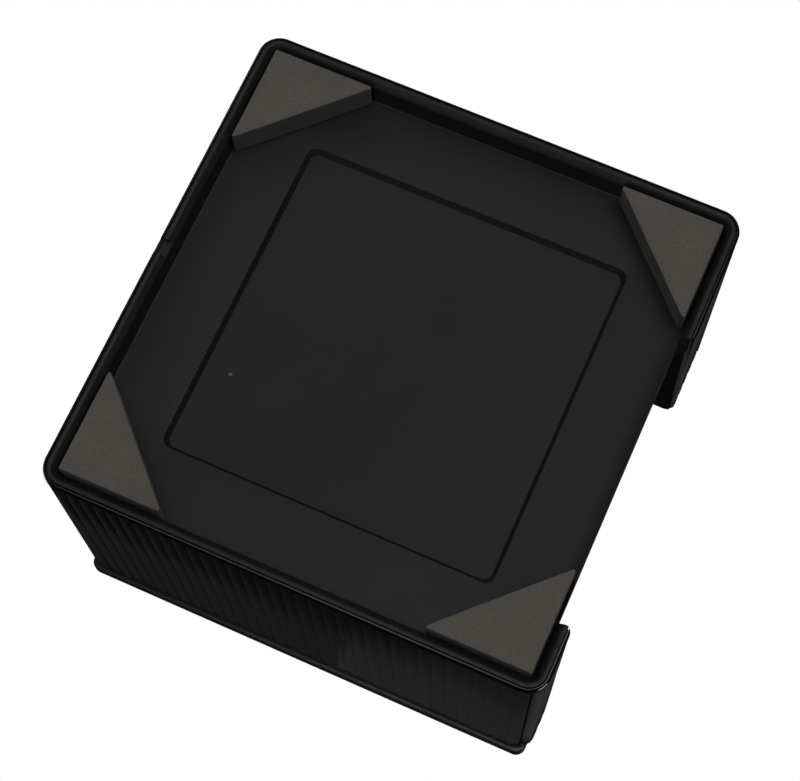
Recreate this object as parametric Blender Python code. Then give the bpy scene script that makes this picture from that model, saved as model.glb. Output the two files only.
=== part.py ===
"""Bench demagnetizer for wristwatches, resting on its four foam feet.

A square ribbed case holds an upright coil under the watch platform. A sprung push
button and a lamp stand at the front of the top, and a mains inlet and a rocker
switch sit in a bay at the rear. Lengths below are in millimetres, and every mesh is
written in metres. +X is right, +Y is the rear and +Z is up; Z = 0 is the bench.
"""
import math

import bmesh
import bpy
from mathutils import Matrix

MM = 0.001
GAP = 0.3                 # left between pieces that touch

# Case: the ribbed wall and the recessed base inside it
SIDE = 80.0               # across the crests of the ribs
HALF = SIDE / 2
CORNER = 3.5              # outer corner radius
RIM_Z = 0.5               # the foam feet stand this far out of the rim
TOP_Z = 52.5              # watch deck
FLUTES = 144
FLUTE_DEPTH = 0.35
LIP_HEIGHT = 1.3          # plain band under the ribs
LIP_CHAMFER = 0.2
WALL_IN = 37.4            # half the inside of the ribbed wall
WALL_TOP_Z = 49.0

# Base tray
TRAY_OUT = 39.0
RIM_FLANGE = (39.4, 1.6)  # half width and upper edge of the flange round the rim
RIM_IN = 37.8
RIM_CHAMFER = 0.95        # along the inner edge of the rim
FLOOR_Z = 5.5             # underside of the plate, inside the rim
FLOOR_TOP_Z = 7.9
REBATE_Z = 8.2
LABEL_HALF = 26.65
LABEL_DEPTH = 1.2
PRY_NICK = (-0.9, 1.7)    # slot for a screwdriver in the front rim

# Rear bay, which widens towards the top
BAY_FOOT = (-28.8, 18.4)  # its two edges at the rim
BAY_HEAD = (-32.0, 24.8)  # and at the deck
PANEL = (-34.4, 27.2)
PANEL_Y = (32.4, 34.2)
PANEL_Z = (8.3, 48.8)

# Top cover
COVER_HALF = (40.5, 39.3)  # the deck overhangs the sides a little
COVER_CORNER = 1.6        # sharper than the wall's
REGISTER = (37.1, 35.9)   # locating lip inside the wall
REGISTER_Z = 46.8
DECK_Z = 49.3             # underside of the deck
DECK_ROUND = 1.2
DECK_REAR = 35.0          # rear edge of the deck over the bay
MAT_CENTRE_Y = 5.0
MAT_HALF = (27.0, 23.0)
MAT_Z = (50.9, 52.2)

# Fasteners
CASE_POST = (33.8, 27.8)
CASE_SCREW = 1.3          # shank radius
BOARD_POST = (27.3, -34.0, -22.8)
COIL_EAR = (24.5, 13.0)
SMALL_SCREW = 0.8

# Foam feet, three-cornered
FOOT_CORNER = 37.3
FOOT_LEG = 17.0
FOOT_TIP = 0.7
FOOT_TOP_Z = 5.3

# Button, lamp and board
BUTTON = (14.0, -29.0)
LAMP = (-14.0, -29.0)
BUTTON_TOP_Z = 56.0
BUTTON_RADIUS = 6.9
SLEEVE_Z = 47.6
BOARD_Z = (36.0, 37.6)
SWITCH_Z = (37.9, 43.6)
PLUNGER_Z = (41.0, 44.6)
SPRING_WIRE = 0.4
SPRING_RADIUS = 3.9
SPRING_TURNS = 5
SPRING_Z = (43.9, 53.7)

# Coil
COIL_Y = -1.0
CORE_HALF = 8.0
TUBE_HALF = (8.3, 9.5)
FLANGE_HALF = 18.0
WINDING_HALF = (9.8, 16.5)
BOBBIN_Z = (12.0, 45.5)
FLANGE = 1.5

# Rear fittings
INLET = (-16.0, 24.0)
PIN_PITCH = 8.6
ROCKER = (8.0, 24.0)
ROCKER_AXIS_Y = 33.2
ROCKER_TILT = math.radians(8)
LEAD = 0.8                # lead radius

PLASTIC = ("black_plastic", (0.012, 0.012, 0.012), 0.38, 0.0)
GLOSSY = ("gloss_black_plastic", (0.008, 0.008, 0.009), 0.18, 0.0)
FOAM = ("foam", (0.07, 0.066, 0.06), 0.95, 0.0)
RUBBER = ("rubber", (0.02, 0.02, 0.02), 0.8, 0.0)
STEEL = ("zinc_steel", (0.6, 0.6, 0.58), 0.35, 1.0)
BUTTON_RED = ("red_plastic", (0.5, 0.02, 0.015), 0.3, 0.0)
LENS_RED = ("red_lens", (0.6, 0.03, 0.02), 0.1, 0.0)
BRASS = ("brass", (0.7, 0.55, 0.25), 0.3, 1.0)
BOARD_GREEN = ("board", (0.02, 0.12, 0.04), 0.5, 0.0)
COPPER = ("enamelled_copper", (0.45, 0.16, 0.06), 0.35, 1.0)
IRON = ("silicon_steel", (0.3, 0.3, 0.32), 0.4, 1.0)
NYLON = ("nylon", (0.8, 0.78, 0.7), 0.5, 0.0)
SLEEVE_BLUE = ("blue_sleeve", (0.03, 0.08, 0.35), 0.4, 0.0)
GLASS = ("glass", (0.8, 0.85, 0.85), 0.05, 0.0)
ALUMINIUM = ("aluminium", (0.7, 0.7, 0.7), 0.4, 1.0)
WIRE_RED = ("red_wire", (0.5, 0.02, 0.02), 0.5, 0.0)
WIRE_BLACK = ("black_wire", (0.02, 0.02, 0.02), 0.5, 0.0)
WIRE_YELLOW = ("yellow_wire", (0.6, 0.45, 0.03), 0.5, 0.0)


# ---- Outlines, in millimetres ----

def rounded(half_x, half_y, radius, centre=(0.0, 0.0), steps=5):
    """A rectangle with round corners, anticlockwise."""
    points = []
    for corner, (sx, sy) in enumerate(((1, 1), (-1, 1), (-1, -1), (1, -1))):
        for step in range(steps + 1):
            angle = math.radians(90 * (corner + step / steps))
            points.append((centre[0] + sx * (half_x - radius) + radius * math.cos(angle),
                           centre[1] + sy * (half_y - radius) + radius * math.sin(angle)))
    return points


def rectangle(x0, x1, y0, y1):
    return [(x0, y0), (x1, y0), (x1, y1), (x0, y1)]


def circle(radius, steps, centre=(0.0, 0.0)):
    turn = 2 * math.pi / steps
    return [(centre[0] + radius * math.cos(turn * i), centre[1] + radius * math.sin(turn * i))
            for i in range(steps)]


def fluted(half, radius, flutes, depth):
    """A round-cornered square whose outline steps in and out, one V for each flute."""
    straight = 2 * (half - radius)
    quarter = straight + math.pi * radius / 2
    points = []
    for index in range(2 * flutes):
        side, along = divmod(index * 4 * quarter / (2 * flutes), quarter)
        inset = depth * (index % 2)
        if along < straight:
            x, y = half - inset, along - straight / 2
        else:
            angle = (along - straight) / radius
            x = half - radius + (radius - inset) * math.cos(angle)
            y = straight / 2 + (radius - inset) * math.sin(angle)
        turn = side * math.pi / 2
        points.append((x * math.cos(turn) - y * math.sin(turn),
                       x * math.sin(turn) + y * math.cos(turn)))
    return points


# ---- Solids ----

def loft(levels, axis="Z"):
    """A closed mesh through outlines of equal length; each level is (height, outline)."""
    place = {"Z": lambda a, b, h: (a, b, h), "Y": lambda a, b, h: (a, h, b),
             "X": lambda a, b, h: (h, a, b)}[axis]
    bm = bmesh.new()
    rings = [[bm.verts.new([MM * value for value in place(a, b, height)]) for a, b in outline]
             for height, outline in levels]
    for lower, upper in zip(rings, rings[1:]):
        for i in range(len(lower)):
            j = (i + 1) % len(lower)
            bm.faces.new((lower[i], lower[j], upper[j], upper[i]))
    bm.faces.new(rings[0])
    bm.faces.new(rings[-1])
    bmesh.ops.recalc_face_normals(bm, faces=bm.faces)
    mesh = bpy.data.meshes.new("shape")
    bm.to_mesh(mesh)
    bm.free()
    return mesh


def box(x0, x1, y0, y1, z0, z1):
    return loft([(z0, rectangle(x0, x1, y0, y1)), (z1, rectangle(x0, x1, y0, y1))])


def turned(profile, steps=24, centre=(0.0, 0.0), axis="Z"):
    """A round solid from (height, radius) pairs."""
    return loft([(height, circle(radius, steps, centre)) for height, radius in profile], axis)


def rod(radius, low, high, steps=16, centre=(0.0, 0.0), axis="Z"):
    return turned([(low, radius), (high, radius)], steps, centre, axis)


def combine(mesh, tool, operation):
    """The Boolean of two closed meshes, as a new mesh."""
    scene = bpy.context.scene.collection
    target = bpy.data.objects.new("target", mesh)
    cutter = bpy.data.objects.new("cutter", tool)
    scene.objects.link(target)
    scene.objects.link(cutter)
    modifier = target.modifiers.new("combine", "BOOLEAN")
    modifier.operation = operation
    modifier.object = cutter
    modifier.solver = "EXACT"
    graph = bpy.context.evaluated_depsgraph_get()
    result = bpy.data.meshes.new_from_object(target.evaluated_get(graph))
    bpy.data.objects.remove(target)
    bpy.data.objects.remove(cutter)
    return result


def joined(mesh, *tools):
    for tool in tools:
        mesh = combine(mesh, tool, "UNION")
    return mesh


def cut(mesh, *tools):
    for tool in tools:
        mesh = combine(mesh, tool, "DIFFERENCE")
    return mesh


def material(finish):
    name, colour, roughness, metallic = finish
    made = bpy.data.materials.get(name)
    if made is None:
        made = bpy.data.materials.new(name)
        made.use_nodes = True
        shader = made.node_tree.nodes["Principled BSDF"]
        shader.inputs["Base Color"].default_value = (*colour, 1.0)
        shader.inputs["Roughness"].default_value = roughness
        shader.inputs["Metallic"].default_value = metallic
        made.diffuse_color = (*colour, 1.0)
    return made


def piece(name, mesh, finish, at=(0.0, 0.0, 0.0), turn=0.0):
    """One named object of the finished part, with its round faces shaded smooth."""
    if not mesh.materials:
        mesh.materials.append(None)
    mesh.materials[0] = material(finish)
    mesh.shade_smooth()
    mesh.set_sharp_from_angle(angle=math.radians(35))
    made = bpy.data.objects.new(name, mesh)
    made.location = [MM * value for value in at]
    made.rotation_euler = (0.0, 0.0, turn)
    bpy.context.scene.collection.objects.link(made)
    return made


def four(x, y):
    """The four corners of a centred rectangle, each with its name."""
    return (("front_left", -x, -y), ("front_right", x, -y), ("rear_right", x, y),
            ("rear_left", -x, y))


# ---- Case ----

def bay_edges(height):
    """The two edges of the rear bay at one height."""
    share = (height - RIM_Z) / (TOP_Z - RIM_Z)
    return [foot + (head - foot) * share for foot, head in zip(BAY_FOOT, BAY_HEAD)]


def bay_cutter(inner_y):
    """The flared space of the rear bay, from inner_y out past the wall."""
    levels = []
    for height in (RIM_Z - 2, TOP_Z + 2):
        left, right = bay_edges(height)
        levels.append((height, rectangle(left, right, inner_y, HALF + 5)))
    return loft(levels)


def nick_cutter():
    return box(PRY_NICK[0], PRY_NICK[1], -HALF - 1, -RIM_IN + 0.2, -1, RIM_Z + 0.8)


def make_shell():
    lip_top = RIM_Z + LIP_HEIGHT
    lip = loft([(RIM_Z, rounded(HALF - LIP_CHAMFER, HALF - LIP_CHAMFER, CORNER - LIP_CHAMFER)),
                (RIM_Z + LIP_CHAMFER, rounded(HALF + 0.02, HALF + 0.02, CORNER)),
                (lip_top, rounded(HALF + 0.02, HALF + 0.02, CORNER))])
    ribs = fluted(HALF, CORNER, FLUTES, FLUTE_DEPTH)
    shell = joined(loft([(lip_top - 0.2, ribs), (WALL_TOP_Z, ribs)]), lip)
    inside = rounded(WALL_IN, WALL_IN, 1.2)
    wide, step_z = RIM_FLANGE[0] + 0.15, RIM_FLANGE[1] + 0.15
    step = rounded(wide, wide, CORNER - HALF + wide)
    rebate = rounded(TRAY_OUT + 0.25, TRAY_OUT + 0.25, CORNER - HALF + TRAY_OUT + 0.25)
    shell = cut(shell, loft([(-1, inside), (TOP_Z, inside)]),
                loft([(-1, step), (step_z, step), (step_z, rebate), (REBATE_Z, rebate)]))
    # cheeks of the bay, with the slots that hold the rear panel
    cheeks = ((-WALL_IN - 0.4, bay_edges(TOP_Z)[0] + 4), (bay_edges(RIM_Z)[1] - 1, PANEL[1] + 2.4))
    for x0, x1 in cheeks:
        shell = joined(shell, box(x0, x1, PANEL_Y[0] - 1.4, WALL_IN + 0.4, REBATE_Z, WALL_TOP_Z - 0.2))
    slot_y = (PANEL_Y[0] - GAP, PANEL_Y[1] + GAP)
    shell = cut(shell, box(PANEL[0] - GAP, PANEL[1] + GAP, *slot_y, REBATE_Z - 1, WALL_TOP_Z + 1),
                box(PANEL[0] + 1.8, PANEL[1] - 1.8, slot_y[0] - 5, slot_y[0] + 0.5,
                    REBATE_Z - 1, WALL_TOP_Z + 1),
                bay_cutter(slot_y[0] + 0.2), nick_cutter())
    # sleeves for the case screws
    for _, x, y in four(*CASE_POST):
        side = math.copysign(1, x)
        web = sorted((x, side * (WALL_IN + 0.4)))
        sleeve = joined(rod(3.1, REBATE_Z + 0.1, 20, centre=(x, y)),
                        box(*web, y - 1, y + 1, REBATE_Z + 0.15, 19.8))
        shell = joined(shell, sleeve)
        shell = cut(shell, rod(CASE_SCREW + 0.4, 0, 22, centre=(x, y)))
    piece("ribbed_shell", shell, GLOSSY)


def make_tray():
    flange, flange_z = RIM_FLANGE
    outer = [(z, rounded(half, half, CORNER - HALF + half)) for z, half in (
        (RIM_Z, flange), (flange_z, flange), (flange_z, TRAY_OUT), (FLOOR_TOP_Z, TRAY_OUT))]
    wide = RIM_IN + RIM_CHAMFER
    inner = [(z, rounded(half, half, CORNER - HALF + half)) for z, half in (
        (RIM_Z - 1, wide), (RIM_Z, wide), (RIM_Z + RIM_CHAMFER, RIM_IN), (FLOOR_Z, RIM_IN))]
    label = [(FLOOR_Z - 0.5, rounded(LABEL_HALF + 0.5, LABEL_HALF + 0.5, 2.5)),
             (FLOOR_Z + LABEL_DEPTH, rounded(LABEL_HALF - LABEL_DEPTH, LABEL_HALF - LABEL_DEPTH, 0.8))]
    tray = cut(loft(outer), loft(inner), loft(label))
    left, right = BAY_FOOT
    tray = cut(tray, box(left, right, RIM_IN, HALF + 1, -1, FLOOR_TOP_Z + 1), nick_cutter())
    for _, x, y in four(*CASE_POST):
        sink = [(FLOOR_Z - 0.3, 2.6), (FLOOR_Z + 1.75, CASE_SCREW + 0.35)]
        tray = cut(tray, turned(sink, 16, (x, y)), rod(CASE_SCREW + 0.35, 0, 10, centre=(x, y)))
    for _, x, y in four(*COIL_EAR):
        boss = cut(rod(3.0, FLOOR_TOP_Z - 0.3, BOBBIN_Z[0] - GAP, centre=(x, y + COIL_Y)),
                   rod(SMALL_SCREW + 0.3, FLOOR_TOP_Z + 0.6, 15, 12, (x, y + COIL_Y)))
        tray = joined(tray, boss)
    piece("base_tray", tray, PLASTIC)


def make_cover():
    chamfer = DECK_ROUND * (1 - math.sqrt(0.5))
    outline = [(DECK_Z, 0.0), (TOP_Z - DECK_ROUND, 0.0), (TOP_Z - chamfer, chamfer),
               (TOP_Z, DECK_ROUND)]
    half_x, half_y = COVER_HALF
    cover = loft([(z, rounded(half_x - inset, half_y - inset, COVER_CORNER - inset))
                  for z, inset in outline])
    outer, inner = REGISTER
    lip = cut(loft([(z, rounded(outer, outer, 1.0)) for z in (REGISTER_Z, DECK_Z + 0.3)]),
              loft([(z, rounded(inner, inner, 0.6)) for z in (REGISTER_Z - 1, DECK_Z)]),
              box(-HALF, HALF, PANEL_Y[0] - 1.8, HALF, REGISTER_Z - 1, DECK_Z))
    cover = joined(cover, lip)
    for _, x, y in four(*CASE_POST):
        post = cut(rod(2.9, 20 + GAP, DECK_Z + 0.3, centre=(x, y)),
                   rod(CASE_SCREW + GAP, 19, 34, 12, (x, y)))
        cover = joined(cover, post)
    for x in (-BOARD_POST[0], BOARD_POST[0]):
        for y in BOARD_POST[1:]:
            post = cut(rod(2.2, BOARD_Z[1] + GAP, DECK_Z + 0.3, centre=(x, y)),
                       rod(SMALL_SCREW + GAP, 36, 44, 12, (x, y)))
            cover = joined(cover, post)
    mat = rounded(MAT_HALF[0] + GAP, MAT_HALF[1] + GAP, 3.0 + GAP, (0.0, MAT_CENTRE_Y))
    left, right = BAY_HEAD
    cover = cut(cover, loft([(MAT_Z[0] - 0.2, mat), (TOP_Z + 1, mat)]),
                box(left - 0.4, right + 0.4, DECK_REAR, HALF + 5, REGISTER_Z, TOP_Z + 5),
                rod(8.3, REGISTER_Z - 1, TOP_Z + 1, 32, BUTTON),
                rod(3.3, DECK_Z - 1, TOP_Z + 1, 24, LAMP))
    piece("top_cover", cover, PLASTIC)
    pad = rounded(*MAT_HALF, 3.0, (0.0, MAT_CENTRE_Y))
    piece("watch_mat", loft([(MAT_Z[0], pad), (MAT_Z[1], pad)]), RUBBER)


def make_rear_panel():
    panel = box(*PANEL, *PANEL_Y, *PANEL_Z)
    inlet = rounded(10.1, 5.6, 1.5, INLET)
    rocker = rounded(6.5, 9.7, 0.6, ROCKER)
    through = (PANEL_Y[0] - 1, PANEL_Y[1] + 1)
    panel = cut(panel, loft([(y, inlet) for y in through], "Y"),
                loft([(y, rocker) for y in through], "Y"))
    piece("rear_panel", panel, PLASTIC)


def make_feet():
    near, far = FOOT_CORNER, FOOT_CORNER - FOOT_LEG
    outline = [(near, near), (far + FOOT_TIP, near), (far + FOOT_TIP, near - FOOT_TIP * 0.4),
               (near - FOOT_TIP * 0.4, far + FOOT_TIP), (near, far + FOOT_TIP)]
    mesh = loft([(0.0, outline), (FOOT_TOP_Z, outline)])
    names = ("rear_right", "rear_left", "front_left", "front_right")
    for quarter, name in enumerate(names):
        piece("foam_foot_" + name, mesh, FOAM, turn=quarter * math.pi / 2)


# ---- Screws ----

def countersunk_screw():
    """Pointing up from its flat head at the origin."""
    return turned([(0.0, 2.0), (0.3, 2.0), (1.3, CASE_SCREW), (23.6, CASE_SCREW), (24.6, 0.4)], 16)


def pan_screw(length):
    """Its head stands on the origin, and its shank points down."""
    return turned([(-length, 0.3), (-length + 0.8, SMALL_SCREW), (0.0, SMALL_SCREW), (0.0, 1.9),
                   (0.8, 1.9), (1.3, 1.2)], 12)


def make_screws():
    mesh = countersunk_screw()
    for name, x, y in four(*CASE_POST):
        piece("case_screw_" + name, mesh, STEEL, (x, y, FLOOR_Z + 0.15))
    mesh = pan_screw(4.0)
    for name, x, y in four(*COIL_EAR):
        piece("coil_screw_" + name, mesh, STEEL, (x, y + COIL_Y, BOBBIN_Z[0] + FLANGE + GAP))
    mesh = turned([(-1.3, 1.2), (-0.8, 1.9), (0.0, 1.9), (0.0, SMALL_SCREW), (4.7, SMALL_SCREW),
                   (5.5, 0.3)], 12)
    for side, x in (("left", -BOARD_POST[0]), ("right", BOARD_POST[0])):
        for end, y in (("front", BOARD_POST[1]), ("rear", BOARD_POST[2])):
            piece(f"board_screw_{end}_{side}", mesh, STEEL, (x, y, BOARD_Z[0] - GAP))


# ---- Button, lamp and board ----

def make_button():
    x, y = BUTTON
    base = PLUNGER_Z[1] + GAP
    cap = turned([(46.1, 7.7), (47.3, 7.7), (47.3, BUTTON_RADIUS), (BUTTON_TOP_Z - 1, BUTTON_RADIUS),
                  (BUTTON_TOP_Z - 0.3, BUTTON_RADIUS - 0.35), (BUTTON_TOP_Z, BUTTON_RADIUS - 1.1)], 32)
    cap = joined(cut(cap, rod(5.7, 45, 54, 24)), rod(1.8, base, 54.5, 16))
    # the button's origin is on its line of travel, level with the deck
    cap.transform(Matrix.Translation((0.0, 0.0, -TOP_Z * MM)))
    piece("push_button", cap, BUTTON_RED, (x, y, TOP_Z))
    bezel = cut(turned([(SLEEVE_Z, 8.0), (TOP_Z + GAP, 8.0), (TOP_Z + GAP, 10.0), (TOP_Z + 1.0, 10.0),
                        (TOP_Z + 1.5, 9.5)], 32), rod(7.3, 40, 60, 32))
    piece("button_bezel", bezel, GLOSSY, (x, y, 0))
    body = cut(box(-6, 6, -6, 6, *SWITCH_Z), rod(2.6, SWITCH_Z[0] + 0.8, SWITCH_Z[1] + 1, 16))
    piece("switch_body", body, PLASTIC, (x, y, 0))
    piece("switch_plunger", turned([(PLUNGER_Z[0] - PLUNGER_Z[1], 2.2), (-0.3, 2.2), (0.0, 1.9)], 16),
          NYLON, (x, y, PLUNGER_Z[1]))
    make_spring(x, y)


def make_spring(x, y):
    low, high = SPRING_Z[0] + SPRING_WIRE, SPRING_Z[1] - SPRING_WIRE
    steps = 12 * SPRING_TURNS
    points = []
    for i in range(steps + 1):
        angle = 2 * math.pi * SPRING_TURNS * i / steps
        points.append((SPRING_RADIUS * math.cos(angle), SPRING_RADIUS * math.sin(angle),
                       low + (high - low) * i / steps))
    tube("button_spring", points, SPRING_WIRE, STEEL, (x, y, 0), 1)


def tube(name, points, radius, finish, at=(0.0, 0.0, 0.0), resolution=2):
    curve = bpy.data.curves.new(name, "CURVE")
    curve.dimensions = "3D"
    curve.bevel_depth = radius * MM
    curve.bevel_resolution = resolution
    curve.use_fill_caps = True
    spline = curve.splines.new("POLY")
    spline.points.add(len(points) - 1)
    for knot, point in zip(spline.points, points):
        knot.co = (*[MM * value for value in point], 1.0)
    curve.materials.append(material(finish))
    made = bpy.data.objects.new(name, curve)
    made.location = [MM * value for value in at]
    bpy.context.scene.collection.objects.link(made)


def make_lamp():
    x, y = LAMP
    lens = turned([(47.0, 3.0), (TOP_Z + GAP, 3.0), (TOP_Z + GAP, 4.2), (TOP_Z + 0.9, 4.2),
                   (TOP_Z + 1.6, 3.4), (TOP_Z + 2.3, 1.9), (TOP_Z + 2.5, 0.6)], 24)
    piece("indicator_lens", cut(lens, rod(2.2, 46, 51.5, 16)), LENS_RED, (x, y, 0))
    piece("led_spacer", rod(2.5, BOARD_Z[1] + GAP, 41.2, 16), NYLON, (x, y, 0))
    piece("indicator_led", turned([(41.5, 2.5), (42.3, 2.5), (42.3, 1.9), (45.2, 1.9), (46.2, 1.4),
                                   (46.6, 0.5)], 16), LENS_RED, (x, y, 0))


def make_board():
    board = box(-30, 30, -36.6, -20.1, *BOARD_Z)
    for x in (-BOARD_POST[0], BOARD_POST[0]):
        for y in BOARD_POST[1:]:
            board = cut(board, rod(SMALL_SCREW + GAP, 30, 40, 12, (x, y)))
    piece("circuit_board", board, BOARD_GREEN)
    under = BOARD_Z[0] - GAP
    piece("ring_capacitor", turned([(-13, 4.4), (-12.4, 5.0), (7.9, 5.0), (8.5, 4.4)], 20,
                                   (-25.8, under - 5.2), "X"), SLEEVE_BLUE)
    piece("terminal_block", box(9.5, 23.5, -28.5, -21.0, 26.8, under), NYLON)
    tab = cut(box(-24.4, -14.4, -21.6, -20.3, 16.5, 32), rod(1.9, -23, -19, 16, (-19.4, 19.5), "Y"))
    piece("power_triac", joined(tab, box(-24.4, -14.4, -24.6, -21.5, 23, under)), GLOSSY)
    sink = cut(box(-25.0, -14.2, -34, -24.9, 18, under), box(-23.6, -15.6, -35, -26.4, 17, 37))
    piece("heat_sink", sink, ALUMINIUM)
    fuse_z = under - 2.9
    piece("fuse_tube", rod(2.5, -11, 9, 16, (-34.0, fuse_z), "X"), GLASS)
    for side, x in (("left", -9.5), ("right", 4.5)):
        clip = cut(box(x, x + 3, -37.1, -30.9, fuse_z - 1.5, under),
                   rod(2.8, x - 1, x + 4, 16, (-34.0, fuse_z), "X"),
                   box(x - 1, x + 4, -36.2, -31.8, fuse_z - 3, fuse_z))
        piece("fuse_clip_" + side, clip, BRASS)


# ---- Coil ----

def make_coil():
    low, high = BOBBIN_Z
    bottom = rounded(FLANGE_HALF, FLANGE_HALF, 3)
    bobbin = joined(loft([(low, bottom), (low + FLANGE, bottom)]),
                    loft([(high - FLANGE, bottom), (high, bottom)]),
                    loft([(low + 0.5, rounded(TUBE_HALF[1], TUBE_HALF[1], 1)),
                          (high - 0.5, rounded(TUBE_HALF[1], TUBE_HALF[1], 1))]))
    for _, x, y in four(*COIL_EAR):
        arm = sorted((x, math.copysign(FLANGE_HALF - 1.5, x)))
        bobbin = joined(bobbin, box(*arm, y - 2.6, y + 2.6, low, low + FLANGE),
                        rod(3.2, low - 0.001, low + FLANGE + 0.001, 16, (x, y)))
        bobbin = cut(bobbin, rod(SMALL_SCREW + GAP, 0, 20, 12, (x, y)))
    bobbin = cut(bobbin, box(-TUBE_HALF[0], TUBE_HALF[0], -TUBE_HALF[0], TUBE_HALF[0], 0, 50))
    piece("coil_bobbin", bobbin, NYLON, (0, COIL_Y, 0))
    inner, outer = WINDING_HALF
    ring = rounded(outer, outer, 5)
    hole = rounded(inner, inner, 1.2)
    span = (low + FLANGE + GAP, high - FLANGE - GAP)
    winding = cut(loft([(z, ring) for z in span]), loft([(span[0] - 1, hole), (span[1] + 1, hole)]))
    piece("coil_winding", winding, COPPER, (0, COIL_Y, 0))
    piece("core_laminations", box(-CORE_HALF, CORE_HALF, -CORE_HALF, CORE_HALF,
                                  FLOOR_TOP_Z + GAP, 48.5), IRON, (0, COIL_Y, 0))


# ---- Rear fittings ----

def make_inlet():
    x, z = INLET
    face = PANEL_Y[1] + GAP
    flange = rounded(12.0, 7.5, 2.5)
    barrel = rounded(9.8, 5.3, 1.3)
    socket = rounded(7.2, 3.9, 3.8)
    body = joined(loft([(face, flange), (face + 1.8, flange)], "Y"),
                  loft([(22.9, barrel), (face + 0.5, barrel)], "Y"))
    body = cut(body, loft([(25.0, socket), (face + 3, socket)], "Y"))
    for side in (-1, 1):
        body = cut(body, rod(1.45, 20, 27, 12, (side * PIN_PITCH / 2, 0), "Y"))
    piece("mains_inlet", body, PLASTIC, (x, 0, z))
    for name, side in (("left", -1), ("right", 1)):
        pin = joined(turned([(21.4, 1.15), (34.4, 1.15), (35.0, 0.7)], 12, axis="Y"),
                     box(-1.9, 1.9, 18.8, 22.5, -0.4, 0.4))
        piece("inlet_pin_" + name, pin, BRASS, (x + side * PIN_PITCH / 2, 0, z))


def make_rocker():
    x, z = ROCKER
    face = PANEL_Y[1] + GAP
    flange = rounded(7.5, 10.5, 1.2)
    barrel = rounded(6.2, 9.4, 0.4)
    well = rectangle(-5.4, 5.4, -8.0, 8.0)
    body = joined(loft([(face, flange), (face + 1.4, flange)], "Y"),
                  loft([(22.9, barrel), (face + 0.5, barrel)], "Y"))
    body = cut(body, loft([(28.5, well), (face + 3, well)], "Y"),
               rod(1.2, -7, 7, 12, (ROCKER_AXIS_Y, 0), "X"))
    for height in (-4, 4):
        body = cut(body, box(-2.7, 2.7, 20, 25, height - 0.7, height + 0.7))
    piece("rocker_housing", body, PLASTIC, (x, 0, z))
    for name, height in (("lower", -4), ("upper", 4)):
        piece("rocker_terminal_" + name, box(-2.4, 2.4, 18.8, 24.7, -0.4, 0.4), BRASS,
              (x, 0, z + height))
    side = [(2.9, 7.2), (1.9, 0.0), (2.9, -7.2), (-0.6, -7.2), (-4.0, -3.5), (-4.0, 3.5), (-0.6, 7.2)]
    paddle = joined(loft([(-5.1, side), (5.1, side)], "X"), rod(0.9, -6.0, 6.0, 12, axis="X"))
    made = piece("power_rocker", paddle, GLOSSY, (x, ROCKER_AXIS_Y, z))
    made.rotation_euler = (-ROCKER_TILT, 0.0, 0.0)


# ---- Leads ----

def smooth_route(points, per_span=5):
    """Points on a smooth curve through the given ones."""
    ends = [points[0], *points, points[-1]]
    route = []
    for p0, p1, p2, p3 in zip(ends, ends[1:], ends[2:], ends[3:]):
        for step in range(per_span):
            t = step / per_span
            route.append([0.5 * (2 * b + (c - a) * t + (2 * a - 5 * b + 4 * c - d) * t * t
                                 + (3 * b - a - 3 * c + d) * t ** 3)
                          for a, b, c, d in zip(p0, p1, p2, p3)])
    return [*route, points[-1]]


LEADS = {
    "bridge_lead": (WIRE_RED, [(-20.3, 20.5, 25.0), (-20.3, 20.6, 30), (-17, 21, 36), (-8, 21.5, 38.5),
                               (2, 21.5, 37.5), (7, 21, 34), (8, 20.5, 28.9)]),
    "live_lead": (WIRE_RED, [(8, 20.4, 19.1), (9.5, 20.4, 16), (15, 20, 15.5), (24, 18.5, 18),
                             (29, 12, 22), (29.5, 0, 24), (28, -12, 21), (22.5, -21, 19.5),
                             (18.8, -24.4, 21.5), (18.25, -24.7, 26.4)]),
    "neutral_lead": (WIRE_BLACK, [(-11.7, 20.5, 23.1), (-11.7, 20.5, 18), (-6, 20.3, 12.5), (8, 20.3, 11),
                                  (22, 20, 12), (30.5, 16, 15), (31.5, 5, 18), (31.5, -8, 17),
                                  (28.5, -19, 16.5), (23.5, -24.3, 19), (21.75, -24.7, 26.4)]),
    "coil_lead_start": (WIRE_YELLOW, [(17.0, -4, 38), (19.5, -6, 36.5), (20.5, -10, 31), (20, -16, 24),
                                      (16.5, -22, 20.5), (14.75, -24.7, 26.4)]),
    "coil_lead_end": (WIRE_YELLOW, [(9, -18.0, 20), (9.5, -20.5, 19.5), (10.8, -23.6, 21),
                                    (11.25, -24.7, 26.4)]),
}


def make_leads():
    for name, (finish, points) in LEADS.items():
        tube(name, smooth_route(points), LEAD, finish)


def main():
    for old in list(bpy.data.objects):
        bpy.data.objects.remove(old)
    make_shell()
    make_tray()
    make_cover()
    make_rear_panel()
    make_feet()
    make_screws()
    make_button()
    make_lamp()
    make_board()
    make_coil()
    make_inlet()
    make_rocker()
    make_leads()


main()
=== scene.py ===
"""Looks for the bench demagnetizer: pieces, finishes, stage and camera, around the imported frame.

Lengths are in metres. +X is right, +Y is the rear and Z = 0 is the bench.
"""
import math

import bmesh
import bpy
from mathutils import Matrix, Vector


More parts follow.
